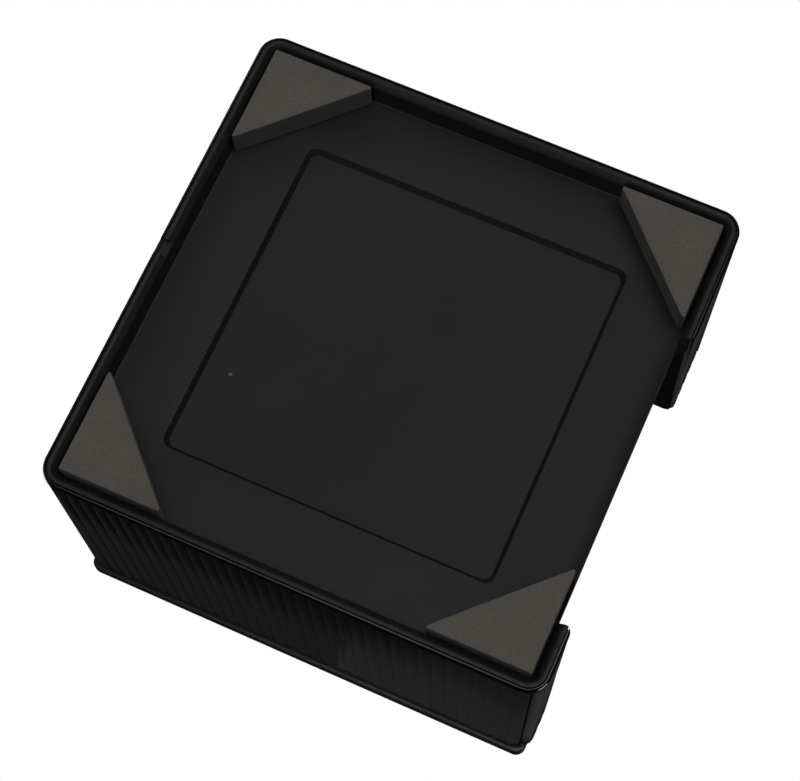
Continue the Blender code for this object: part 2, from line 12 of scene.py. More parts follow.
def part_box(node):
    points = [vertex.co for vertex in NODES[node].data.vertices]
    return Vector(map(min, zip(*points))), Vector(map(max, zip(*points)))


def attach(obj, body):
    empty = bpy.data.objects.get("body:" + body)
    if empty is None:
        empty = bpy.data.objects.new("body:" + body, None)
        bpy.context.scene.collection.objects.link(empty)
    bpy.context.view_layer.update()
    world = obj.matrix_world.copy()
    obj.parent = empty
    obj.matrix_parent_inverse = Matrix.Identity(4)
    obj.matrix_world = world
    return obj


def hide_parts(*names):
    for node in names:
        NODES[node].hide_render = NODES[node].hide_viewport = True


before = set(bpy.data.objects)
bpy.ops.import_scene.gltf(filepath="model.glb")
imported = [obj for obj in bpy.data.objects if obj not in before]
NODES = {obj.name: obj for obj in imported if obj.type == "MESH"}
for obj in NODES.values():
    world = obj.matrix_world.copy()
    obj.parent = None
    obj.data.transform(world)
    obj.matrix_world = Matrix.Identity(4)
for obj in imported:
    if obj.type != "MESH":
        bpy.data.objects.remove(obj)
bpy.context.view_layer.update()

bl_info = {
    "name": "Bench demagnetizer",
    "version": (1, 0, 0),
    "blender": (4, 5, 0),
    "location": "View3D > Sidebar > Demagnetizer",
    "description": "Makes the pieces, finishes and stage of a watchmaker's bench demagnetizer",
    "category": "Object",
}

MM = 0.001
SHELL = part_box("ribbed_shell")
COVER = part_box("top_cover")
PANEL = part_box("rear_panel")
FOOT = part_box("foam_foot_rear_right")
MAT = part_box("watch_mat")
HALF = SHELL[1].x
RIM_Z = SHELL[0].z
DECK_Z = COVER[1].z
CORNERS = (("front_left", -1, -1), ("front_right", 1, -1), ("rear_right", 1, 1),
           ("rear_left", -1, 1))

# Halves of widths, and heights above the bench, that pieces of the case share
TRAY_HALF = 39.0 * MM
WALL_INSIDE = 37.4 * MM
WALL_BITE = 37.8 * MM  # cheeks and webs run this far into the wall
SEAT_TOP = 1.75 * MM
FLANGE_TOP = 1.6 * MM
PLATE_TOP = 7.9 * MM
REBATE_TOP = 8.2 * MM
DECK_LOW = 49.3 * MM
BEZEL_LOW = 52.8 * MM  # where the bezel and the lens bear on the deck
BUTTON_SPOT = (14 * MM, -29 * MM)
LAMP_SPOT = (-14 * MM, -29 * MM)

CAMERA_PLACE = (-0.0933, 0.0468, -0.2798)
CAMERA_RIGHT = (0.4073, 0.9132, 0.0154)
CAMERA_UP = (0.8649, -0.3802, -0.3276)


# ---- Settings a user would change ----

def length(label, text, default):
    return bpy.props.FloatProperty(name=label, description=text, default=default, min=0.0,
                                   precision=5, unit="LENGTH", subtype="DISTANCE")


def colour(label, text, default):
    return bpy.props.FloatVectorProperty(name=label, description=text, default=default, size=3,
                                         min=0.0, max=1.0, subtype="COLOR")


def factor(label, text, default, high=1.0):
    return bpy.props.FloatProperty(name=label, description=text, default=default, min=0.0, max=high)


class CaseSettings(bpy.types.PropertyGroup):
    reeds: bpy.props.IntProperty(name="Reeds", description="Upright ribs round the wall",
                                 default=144, min=16, max=400)
    reed_depth: length("Reed depth", "How far a rib stands out of the wall", 0.34 * MM)
    corner: length("Wall corner", "Outer corner radius of the ribbed wall", 3.5 * MM)
    cover_corner: length("Cover corner", "Outer corner radius of the cover", 1.6 * MM)
    lip_height: length("Lip height", "Plain band below the ribs", 1.5 * MM)
    lip_edge: length("Lip edge", "Width of the rolled edge under the wall", 0.43 * MM)
    lip_roll: length("Lip roll", "Height of the rolled edge under the wall", 0.95 * MM)
    rim_outside: length("Rim outside", "Half the width across the rim's flange", 39.4 * MM)
    rim_inside: length("Rim inside", "Half the width between the inner faces of the rim", 37.8 * MM)
    rim_chamfer: length("Rim chamfer", "Chamfer along the inner edge of the rim", 0.95 * MM)
    floor_depth: length("Floor depth", "How far the base plate lies inside the rim", 5.0 * MM)
    label_half: length("Label recess", "Half the width of the label recess", 26.7 * MM)
    label_depth: length("Label depth", "Depth of the label recess", 1.2 * MM)
    gloss_black: colour("Wall black", "Colour of the ribbed wall", (0.0045, 0.0045, 0.005))
    satin_black: colour("Base black", "Colour of the base and the cover", (0.0125, 0.0122, 0.0112))


class SoftSettings(bpy.types.PropertyGroup):
    foam: colour("Foam", "Colour of the foam feet", (0.158, 0.144, 0.125))
    # the feet's sides: the cut foam's own darker tone plus painted shade, darker than the lights
    # alone make them
    foam_cut: colour("Foam cut", "Colour of the feet's cut sides", (0.062, 0.057, 0.051))
    rubber: colour("Mat", "Colour of the watch mat", (0.02, 0.021, 0.023))
    nub_pitch: length("Nub pitch", "Distance between the mat's nubs", 3.0 * MM)


class FittingSettings(bpy.types.PropertyGroup):
    button: colour("Button", "Colour of the push button", (0.42, 0.012, 0.01))
    lens: colour("Lens", "Colour of the lamp's lens", (0.75, 0.02, 0.015))
    wire: length("Coil wire", "Diameter of the coil's wire", 0.56 * MM)
    sheet: length("Core sheet", "Thickness of one core sheet", 0.5 * MM)


class StageSettings(bpy.types.PropertyGroup):
    floor: colour("Floor", "Colour of the floor", (0.86, 0.86, 0.85))
    lens: bpy.props.FloatProperty(name="Lens", description="Focal length on a 36 mm sensor",
                                  default=90.88, min=10.0, subtype="DISTANCE_CAMERA")
    key: factor("Key light", "Strength of the main soft light", 1.0, 20.0)
    fill: factor("Fill light", "Strength of the other soft lights", 1.0, 20.0)


# ---- Outlines and solids ----

def rounded(half_x, half_y, radius, centre=(0.0, 0.0), steps=10):
    """A rectangle with round corners, anticlockwise."""
    points = []
    for corner, (sx, sy) in enumerate(((1, 1), (-1, 1), (-1, -1), (1, -1))):
        for step in range(steps + 1):
            angle = math.radians(90 * (corner + step / steps))
            points.append((centre[0] + sx * (half_x - radius) + radius * math.cos(angle),
                           centre[1] + sy * (half_y - radius) + radius * math.sin(angle)))
    return points


def square(half, radius, centre=(0.0, 0.0)):
    return rounded(half, half, radius, centre)


def beside_wall(case, half):
    """A square outline whose corners are concentric with the wall's."""
    return square(half, case.corner - HALF + half)


def circle(radius, steps, centre):
    turn = 2 * math.pi / steps
    return [(centre[0] + radius * math.cos(turn * i), centre[1] + radius * math.sin(turn * i))
            for i in range(steps)]


def rectangle(x0, x1, y0, y1):
    return [(x0, y0), (x1, y0), (x1, y1), (x0, y1)]


def loft(levels):
    """A closed mesh through outlines of equal length; each level is (height, outline)."""
    bm = bmesh.new()
    rings = [[bm.verts.new((x, y, height)) for x, y in outline] for height, outline in levels]
    for lower, upper in zip(rings, rings[1:]):
        for i in range(len(lower)):
            j = (i + 1) % len(lower)
            bm.faces.new((lower[i], lower[j], upper[j], upper[i]))
    bm.faces.new(rings[0])
    bm.faces.new(rings[-1])
    bmesh.ops.recalc_face_normals(bm, faces=bm.faces)
    mesh = bpy.data.meshes.new("shape")
    bm.to_mesh(mesh)
    bm.free()
    return mesh


def box(x0, x1, y0, y1, z0, z1):
    return loft([(z0, rectangle(x0, x1, y0, y1)), (z1, rectangle(x0, x1, y0, y1))])


def turned(profile, steps, centre=(0.0, 0.0)):
    """A round solid from (height, radius) pairs."""
    return loft([(height, circle(radius, steps, centre)) for height, radius in profile])


def rod(low, high, radius, steps, centre):
    return turned([(low, radius), (high, radius)], steps, centre)


def millimetres(*pairs):
    return [(first * MM, second * MM) for first, second in pairs]


def bend(steps, first=0, turn=90):
    """(sine, cosine) at the steps of a bend of turn degrees, from the first to the last."""
    angles = [math.radians(turn * step / steps) for step in range(first, steps + 1)]
    return [(math.sin(angle), math.cos(angle)) for angle in angles]


def arc(low, high, radius, steps):
    """(height, inset) pairs of an edge rounded at its top, from low up to high."""
    return [(low, 0.0)] + [(high - radius + radius * sine, radius * (1 - cosine))
                           for sine, cosine in bend(steps)]


def middle_of(low, high):
    """The middle of a box, seen from above."""
    return (low.x + high.x) / 2, (low.y + high.y) / 2


def temporary(mesh):
    made = bpy.data.objects.new("temporary", mesh)
    bpy.context.scene.collection.objects.link(made)
    return made


def baked(made):
    """The evaluated mesh of a temporary object, which is then removed."""
    graph = bpy.context.evaluated_depsgraph_get()
    mesh = bpy.data.meshes.new_from_object(made.evaluated_get(graph), depsgraph=graph)
    bpy.data.objects.remove(made)
    return mesh


def combined(mesh, tools, operation):
    for tool in tools:
        target, cutter = temporary(mesh), temporary(tool)
        cutter.hide_render = True
        modifier = target.modifiers.new("combine", "BOOLEAN")
        modifier.operation = operation
        modifier.object = cutter
        modifier.solver = "EXACT"
        mesh = baked(target)
        bpy.data.objects.remove(cutter)
    return mesh


def joined(mesh, *tools):
    return combined(mesh, tools, "UNION")


def cut(mesh, *tools):
    return combined(mesh, tools, "DIFFERENCE")


def softened(mesh, width, segments=2):
    """The mesh with its sharp edges rounded, for the thin highlights of a moulded piece."""
    target = temporary(mesh)
    modifier = target.modifiers.new("soften", "BEVEL")
    modifier.width = width
    modifier.segments = segments
    modifier.limit_method = "ANGLE"
    modifier.angle_limit = math.radians(30)
    return baked(target)


def tidy_copy(node):
    """A merged copy of a CAD node's mesh, with its flat faces joined up."""
    mesh = NODES[node].data.copy()
    bm = bmesh.new()
    bm.from_mesh(mesh)
    bmesh.ops.remove_doubles(bm, verts=bm.verts, dist=1e-6)
    bmesh.ops.dissolve_limit(bm, angle_limit=math.radians(1), verts=bm.verts, edges=bm.edges)
    bm.to_mesh(mesh)
    bm.free()
    mesh.materials.clear()
    return mesh


def piece(name, mesh, looks, replaces=(), sharp=32, body="case"):
    """One finished piece: shaded, painted, riding on its body and standing for its CAD nodes."""
    looks = looks.split()
    if len(mesh.materials) != len(looks):
        mesh.materials.clear()
        for look in looks:
            mesh.materials.append(finish(look))
    mesh.name = name
    mesh.shade_smooth()
    mesh.set_sharp_from_angle(angle=math.radians(sharp))
    made = bpy.data.objects.new(name, mesh)
    bpy.context.scene.collection.objects.link(made)
    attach(made, body)
    if replaces:
        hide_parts(*replaces)
    return made


def dress(look, *nodes):
    """CAD nodes keep their shape and get a better finish."""
    for node in nodes:
        mesh = NODES[node].data
        mesh.materials.clear()
        mesh.materials.append(finish(look))


# ---- Nodes and geometry node trees ----

def put(tree, socket, value):
    """A value, or another node's socket, into a socket."""
    if isinstance(value, bpy.types.NodeSocket):
        tree.links.new(value, socket)
    else:
        socket.default_value = value


def node_in(tree, kind, settings=None, **inputs):
    """A node; settings are its properties, and inputs are values or sockets by name."""
    node = tree.nodes.new(kind)
    for key, value in (settings or {}).items():
        setattr(node, key, value)
    for key, value in inputs.items():
        put(tree, node.inputs[key.replace("_", " ")], value)
    return node


class Tree:
    """A geometry node tree under construction, with named inputs for its sizes."""

    def __init__(self, name, sizes):
        self.group = bpy.data.node_groups.new(name, "GeometryNodeTree")
        face = self.group.interface
        face.new_socket("Geometry", in_out="OUTPUT", socket_type="NodeSocketGeometry")
        face.new_socket("Geometry", in_out="INPUT", socket_type="NodeSocketGeometry")
        self.sockets = {}
        kinds = {int: "NodeSocketInt", float: "NodeSocketFloat",
                 bpy.types.Object: "NodeSocketObject", bpy.types.Material: "NodeSocketMaterial"}
        self.values = sizes
        for label, value in sizes.items():
            kind = next(kinds[base] for base in kinds if isinstance(value, base))
            self.sockets[label] = face.new_socket(label, in_out="INPUT", socket_type=kind)
        self.start = self.group.nodes.new("NodeGroupInput")
        self.end = self.group.nodes.new("NodeGroupOutput")

    def size(self, label):
        return self.start.outputs[label]

    def add(self, kind, settings=None, **inputs):
        return node_in(self.group, kind, settings, **inputs)

    def math(self, kind, operation, a, b=None):
        node = self.add(kind, {"operation": operation})
        for socket, value in zip(node.inputs, (a, b)):
            if value is not None:
                put(self.group, socket, value)
        return node

    def sum(self, operation, a, b):
        return self.math("ShaderNodeMath", operation, a, b).outputs[0]

    def vector(self, x, y, z):
        return self.add("ShaderNodeCombineXYZ", X=x, Y=y, Z=z).outputs[0]

    def outward(self, tangent):
        """The direction away from the middle: across the tangent, on the outer side."""
        kind = "ShaderNodeVectorMath"
        across = self.math(kind, "CROSS_PRODUCT", tangent, (0.0, 0.0, 1.0)).outputs[0]
        place = self.add("GeometryNodeInputPosition").outputs[0]
        away = self.math(kind, "DOT_PRODUCT", across, place).outputs["Value"]
        flip = self.math(kind, "SCALE", across)
        put(self.group, flip.inputs["Scale"], self.sum("SIGN", away, 0.0))
        return flip.outputs[0]

    def finish(self, geometry):
        real = self.add("GeometryNodeRealizeInstances", Geometry=geometry)
        paint = self.add("GeometryNodeSetMaterial", Geometry=real.outputs[0],
                         Material=self.size("Finish"))
        put(self.group, self.end.inputs["Geometry"], paint.outputs[0])

    def grown(self, seedbed=None):
        """The tree's result as a plain mesh."""
        carrier = temporary(seedbed or bpy.data.meshes.new("seedbed"))
        modifier = carrier.modifiers.new(self.group.name, "NODES")
        modifier.node_group = self.group
        for label, socket in self.sockets.items():
            modifier[socket.identifier] = self.values[label]
        return baked(carrier)


def reed_ring(name, count, half, corner, depth, low, high, finish):
    """Shallow upright ribs round a square wall with round corners, parted by fine grooves."""
    pitch = (8 * half - (8 - 2 * math.pi) * corner) / count
    wide, swell = 0.485 * pitch, 0.05 * MM
    section = [(-wide, -0.05 * MM), (wide, -0.05 * MM)]
    for step in range(7):
        across = wide * (1 - step / 3)
        section.append((across, depth - swell * (across / wide) ** 2))
    pattern = temporary(loft([(low, section), (high, section)]))
    tree = Tree(name, {"Count": count, "Half side": half, "Corner": corner, "Rib": pattern,
                       "Finish": finish})
    side = tree.sum("MULTIPLY", tree.size("Half side"), 2.0)
    square = tree.add("GeometryNodeCurvePrimitiveQuadrilateral", Width=side, Height=side)
    path = tree.add("GeometryNodeFilletCurve", {"mode": "POLY"}, Curve=square.outputs[0], Count=12,
                    Radius=tree.size("Corner"))
    spots = tree.add("GeometryNodeCurveToPoints", {"mode": "COUNT"}, Curve=path.outputs[0],
                     Count=tree.size("Count"))
    rib = tree.add("GeometryNodeObjectInfo", Object=tree.size("Rib"))
    turn = tree.add("FunctionNodeAlignRotationToVector", {"axis": "Y", "pivot_axis": "Z"},
                    Vector=tree.outward(spots.outputs["Tangent"]))
    ring = tree.add("GeometryNodeInstanceOnPoints", Points=spots.outputs["Points"],
                    Instance=rib.outputs["Geometry"], Rotation=turn.outputs[0])
    tree.finish(ring.outputs[0])
    mesh = tree.grown()
    bpy.data.objects.remove(pattern)
    return mesh


def stacked_loops(name, count, half, corner, wire, low, high, finish):
    """Turns of wire laid on each other round a square former."""
    tree = Tree(name, {"Turns": count, "Half side": half, "Corner": corner, "Wire": wire,
                       "Low": low, "High": high, "Finish": finish})
    side = tree.sum("MULTIPLY", tree.size("Half side"), 2.0)
    square = tree.add("GeometryNodeCurvePrimitiveQuadrilateral", Width=side, Height=side)
    path = tree.add("GeometryNodeFilletCurve", {"mode": "POLY"}, Curve=square.outputs[0], Count=6,
                    Radius=tree.size("Corner"))
    section = tree.add("GeometryNodeCurvePrimitiveCircle", Resolution=8,
                       Radius=tree.sum("MULTIPLY", tree.size("Wire"), 0.5))
    loop = tree.add("GeometryNodeCurveToMesh", Curve=path.outputs[0],
                    Profile_Curve=section.outputs[0])
    places = tree.add("GeometryNodeMeshLine", {"mode": "END_POINTS"}, Count=tree.size("Turns"),
                      Start_Location=tree.vector(0.0, 0.0, tree.size("Low")),
                      Offset=tree.vector(0.0, 0.0, tree.size("High")))
    stack = tree.add("GeometryNodeInstanceOnPoints", Points=places.outputs[0],
                     Instance=loop.outputs[0])
    tree.finish(stack.outputs[0])
    return tree.grown()


def stacked_sheets(name, count, sheet, half_x, low, high, y_low, y_high, finish):
    """Thin sheets standing side by side, as in a core."""
    tree = Tree(name, {"Sheets": count, "Sheet": sheet, "Half width": half_x, "Low": low,
                       "High": high, "Front": y_low, "Rear": y_high, "Finish": finish})
    size = tree.vector(tree.sum("MULTIPLY", tree.size("Half width"), 2.0), tree.size("Sheet"),
                       tree.sum("SUBTRACT", tree.size("High"), tree.size("Low")))
    plate = tree.add("GeometryNodeMeshCube", Size=size)
    middle = tree.sum("MULTIPLY", tree.sum("ADD", tree.size("High"), tree.size("Low")), 0.5)
    places = tree.add("GeometryNodeMeshLine", {"mode": "END_POINTS"}, Count=tree.size("Sheets"),
                      Start_Location=tree.vector(0.0, tree.size("Front"), middle),
                      Offset=tree.vector(0.0, tree.size("Rear"), middle))
    stack = tree.add("GeometryNodeInstanceOnPoints", Points=places.outputs[0],
                     Instance=plate.outputs[0])
    tree.finish(stack.outputs[0])
    return tree.grown()


def set_out(name, master, places, finish):
    """Copies of one mesh at a list of places."""
    pattern = temporary(master)
    tree = Tree(name, {"Pattern": pattern, "Finish": finish})
    source = tree.add("GeometryNodeObjectInfo", Object=tree.size("Pattern"))
    copies = tree.add("GeometryNodeInstanceOnPoints", Points=tree.start.outputs["Geometry"],
                      Instance=source.outputs["Geometry"])
    tree.finish(copies.outputs[0])
    points = bpy.data.meshes.new("places")
    points.from_pydata([tuple(place) for place in places], [], [])
    mesh = tree.grown(points)
    bpy.data.objects.remove(pattern)
    return mesh


# ---- Finishes ----

class Finish:
    """A Principled material with Object coordinates and small helpers for its patterns."""

    def __init__(self, name, base, roughness, metallic=0.0, **sockets):
        self.material = bpy.data.materials.new(name)
        self.material.use_nodes = True
        self.tree = self.material.node_tree
        self.shader = self.tree.nodes["Principled BSDF"]
        self.drive("Base Color", (*base, 1.0))
        self.drive("Roughness", roughness)
        self.drive("Metallic", metallic)
        for key, value in sockets.items():
            self.drive(key.replace("_", " "), value)
        self.place = self.add("ShaderNodeTexCoord").outputs["Object"]
        self.bump = None

    def add(self, kind, settings=None, **inputs):
        return node_in(self.tree, kind, settings, **inputs)

    def drive(self, socket, value):
        put(self.tree, self.shader.inputs[socket], value)

    def stretched(self, x, y, z):
        """Object coordinates scaled by axis, for a pattern that runs along a piece."""
        return self.add("ShaderNodeMapping", Scale=(x, y, z), Vector=self.place).outputs[0]

    def noise(self, size, detail=3.0, rough=0.55, place=None):
        """Noise whose patches are about one size across, in metres."""
        return self.add("ShaderNodeTexNoise", Scale=1.0 / size, Detail=detail, Roughness=rough,
                        Vector=place or self.place).outputs["Fac"]

    def cells(self, size, feature="F1"):
        return self.add("ShaderNodeTexVoronoi", {"feature": feature}, Scale=1.0 / size,
                        Vector=self.place).outputs["Distance"]

    def ranged(self, value, low, high, to_low=0.0, to_high=1.0):
        return self.add("ShaderNodeMapRange", From_Min=low, From_Max=high, To_Min=to_low,
                        To_Max=to_high, Value=value).outputs[0]

    def blend(self, share, first, second):
        """A mix of two colours, each a colour or a socket."""
        node = self.add("ShaderNodeMix", {"data_type": "RGBA"})
        put(self.tree, node.inputs[0], share)
        for index, value in ((6, first), (7, second)):
            solid = not isinstance(value, bpy.types.NodeSocket)
            put(self.tree, node.inputs[index], (*value, 1.0) if solid else value)
        return node.outputs[2]

    def relief(self, value, depth, strength=0.5):
        """One more layer of bump, depth in metres."""
        node = self.add("ShaderNodeBump", Distance=depth, Strength=strength, Height=value)
        if self.bump is not None:
            put(self.tree, node.inputs["Normal"], self.bump)
        self.bump = node.outputs[0]
        self.drive("Normal", self.bump)


def shade(base, share):
    return tuple(min(1.0, value * share) for value in base)


def shades(base, low, high):
    return shade(base, low), shade(base, high)


def satin_plastic(name, base, roughness, dust=False):
    """Moulded plastic with a fine spark-eroded grain and faint handling marks."""
    made = Finish(name, base, roughness, IOR=1.47)
    fine = made.noise(0.00035, 2.0, 0.6)
    cloud = made.noise(0.018, 3.0, 0.5)
    made.drive("Base Color", made.blend(made.ranged(cloud, 0.3, 0.7), *shades(base, 0.86, 1.14)))
    rub = made.noise(0.006, 4.0, 0.62)
    made.drive("Roughness", made.ranged(rub, 0.3, 0.75, roughness - 0.05, roughness + 0.09))
    made.relief(fine, 0.00002, 0.35)
    if dust:
        specks = made.ranged(made.cells(0.021), 0.011, 0.016, 1.0, 0.0)
        clean = made.shader.inputs["Base Color"].links[0].from_socket
        made.drive("Base Color", made.blend(specks, clean, (0.16, 0.15, 0.13)))
    return made.material


def gloss_plastic(name, base):
    """Moulded gloss plastic, a little uneven, with dust rubbed into it."""
    roughness = 0.11
    made = Finish(name, base, roughness, IOR=1.6)
    wave = made.noise(0.005, 3.0, 0.55, made.stretched(1.0, 1.0, 0.12))
    smear = made.noise(0.011, 5.0, 0.65, made.stretched(1.0, 1.0, 0.35))
    made.drive("Roughness", made.ranged(smear, 0.32, 0.72, roughness - 0.02, roughness + 0.09))
    made.drive("Base Color", made.blend(made.ranged(smear, 0.45, 0.8), base, shade(base, 1.7)))
    made.relief(wave, 0.00008, 0.25)
    made.relief(made.noise(0.00025, 2.0, 0.5), 0.00001, 0.2)
    return made.material


def foam(name, base):
    """Closed-cell foam: matt, with a fine skin of pores and slow changes of tone."""
    made = Finish(name, base, 0.92, IOR=1.35)
    made.drive("Sheen Weight", 0.12)
    made.drive("Sheen Roughness", 0.6)
    pores = made.cells(0.00032)
    grain = made.noise(0.00055, 4.0, 0.7)
    tone = made.noise(0.007, 3.0, 0.55)
    light, dark = shades(base, 1.1, 0.84)
    flecks = made.blend(made.ranged(pores, 0.15, 0.6), dark, light)
    made.drive("Base Color", made.blend(made.ranged(tone, 0.35, 0.7, 0.0, 0.45), flecks,
                                        shade(base, 0.8)))
    made.relief(grain, 0.00012, 0.55)
    made.relief(pores, 0.00006, 0.4)
    return made.material


def rubber(name, base):
    made = Finish(name, base, 0.7, IOR=1.5)
    dust = made.noise(0.009, 5.0, 0.6)
    made.drive("Base Color", made.blend(made.ranged(dust, 0.4, 0.8), base, shade(base, 1.6)))
    made.drive("Roughness", made.ranged(dust, 0.3, 0.7, 0.62, 0.8))
    made.relief(made.noise(0.0003, 3.0, 0.6), 0.00003, 0.4)
    return made.material


def metal(name, base, roughness, brushed=(1.0, 1.0, 1.0), size=0.0012):
    """Plated or bare metal with fine streaks along its least stretched axis."""
    made = Finish(name, base, roughness, 1.0)
    streak = made.noise(size, 4.0, 0.6, made.stretched(*brushed))
    made.drive("Roughness", made.ranged(streak, 0.3, 0.7, roughness - 0.06, roughness + 0.1))
    made.drive("Base Color", made.blend(made.ranged(streak, 0.3, 0.7), *shades(base, 0.85, 1.0)))
    made.relief(streak, 0.00001, 0.3)
    return made.material


def coloured_plastic(name, base, roughness):
    made = Finish(name, base, roughness, IOR=1.5)
    tone = made.noise(0.004, 3.0, 0.5)
    made.drive("Base Color", made.blend(made.ranged(tone, 0.3, 0.7), *shades(base, 0.9, 1.06)))
    made.drive("Roughness", made.ranged(tone, 0.3, 0.7, roughness - 0.04, roughness + 0.06))
    made.relief(made.noise(0.0004, 2.0, 0.5), 0.00001, 0.3)
    return made.material


def clear(name, base, transmission, roughness=0.05):
    made = Finish(name, base, roughness, IOR=1.5, Transmission_Weight=transmission)
    swirl = made.noise(0.003, 2.0, 0.5)
    made.drive("Roughness", made.ranged(swirl, 0.3, 0.7, roughness, roughness + 0.05))
    made.relief(swirl, 0.00002, 0.15)
    return made.material


def board_mask(name):
    """Green solder mask over copper tracks and a woven glass board."""
    made = Finish(name, (0.01, 0.1, 0.03), 0.35, IOR=1.5)
    tracks = made.cells(0.0042, "DISTANCE_TO_EDGE")
    weave = made.noise(0.0005, 2.0, 0.5)
    green = made.blend(made.ranged(tracks, 0.1, 0.14), (0.015, 0.15, 0.05), (0.006, 0.075, 0.024))
    made.drive("Base Color", green)
    made.drive("Roughness", made.ranged(weave, 0.3, 0.7, 0.28, 0.42))
    made.relief(made.ranged(tracks, 0.1, 0.14, 1.0, 0.0), 0.00004, 0.5)
    return made.material


_finishes = {}


def finish(name):
    """Each finish is made once."""
    if name in _finishes:
        return _finishes[name]
    scene = bpy.context.scene
    case, soft, fit = scene.demag_case, scene.demag_soft, scene.demag_fittings
    satin = tuple(case.satin_black)
    maker, *values = {
        "wall_gloss": (gloss_plastic, tuple(case.gloss_black)),
        "base_satin": (satin_plastic, satin, 0.48, True),
        "cover_satin": (satin_plastic, shade(satin, 0.8), 0.3),
        "foam_face": (foam, tuple(soft.foam)),
        # the darker copy of the foam for the feet's sides: the cut foam's own tone plus painted
        # shade
        "foam_cut": (foam, tuple(soft.foam_cut)),
        "mat_rubber": (rubber, tuple(soft.rubber)),
        "button_red": (coloured_plastic, tuple(fit.button), 0.22),
        "lens_red": (clear, tuple(fit.lens), 0.6),
        "led_red": (clear, (0.9, 0.1, 0.08), 0.5, 0.1),
        "zinc": (metal, (0.62, 0.62, 0.6), 0.3, (1, 1, 1), 0.0008),
        "spring_steel": (metal, (0.55, 0.55, 0.56), 0.25),
        "brass": (metal, (0.78, 0.6, 0.3), 0.24, (1, 0.15, 1)),
        "aluminium": (metal, (0.78, 0.78, 0.79), 0.34, (1, 1, 0.1)),
        "core_steel": (metal, (0.2, 0.2, 0.215), 0.42, (1, 1, 0.12)),
        "enamelled_wire": (metal, (0.55, 0.2, 0.08), 0.3),
        "natural_nylon": (coloured_plastic, (0.74, 0.71, 0.62), 0.45),
        "moulding_black": (satin_plastic, (0.016, 0.016, 0.017), 0.45),
        "sleeve_blue": (coloured_plastic, (0.02, 0.06, 0.3), 0.28),
        "fuse_glass": (clear, (0.92, 0.95, 0.95), 0.92, 0.02),
        "board_green": (board_mask,),
        "solder": (metal, (0.7, 0.7, 0.69), 0.28),
        "wire_red": (coloured_plastic, (0.45, 0.015, 0.012), 0.42),
        "wire_black": (coloured_plastic, (0.014, 0.014, 0.015), 0.42),
        "wire_yellow": (coloured_plastic, (0.62, 0.42, 0.02), 0.42),
    }[name]
    _finishes[name] = maker(name, *values)
    return _finishes[name]


# ---- Rear bay, label recess and screw posts ----

BAY_FOOT = (-28.8 * MM, 18.4 * MM)
BAY_HEAD = (-32.0 * MM, 24.8 * MM)
NICK = (-0.9 * MM, 1.7 * MM)
SLOPE = 62
POSTS = [(sx * 33.8 * MM, sy * 27.8 * MM) for _, sx, sy in CORNERS]


def bay_edges(height):
    share = (height - RIM_Z) / (DECK_Z - RIM_Z)
    return [foot + (head - foot) * share for foot, head in zip(BAY_FOOT, BAY_HEAD)]


def bay_cutter(inner_y):
    """The flared space of the bay, from inner_y out past the wall, its ends rolled over."""
    levels = []
    roll, beyond = 1.1 * MM, HALF + 5 * MM
    curve = [(roll * (1 - cosine), HALF - roll + roll * sine) for sine, cosine in bend(6, 1)]
    for height in (RIM_Z - 2 * MM, DECK_Z + 2 * MM):
        left, right = bay_edges(height)
        levels.append((height, [
            (left, inner_y), (right, inner_y), (right, HALF - roll),
            *((right + out, y) for out, y in curve), (right + roll, beyond),
            (left - roll, beyond), *((left - out, y) for out, y in reversed(curve)),
            (left, HALF - roll)]))
    return loft(levels)


def nick_cutter(inner):
    return box(NICK[0], NICK[1], -HALF - MM, -inner, -MM, RIM_Z + 0.8 * MM)


# ---- Operators: the case ----

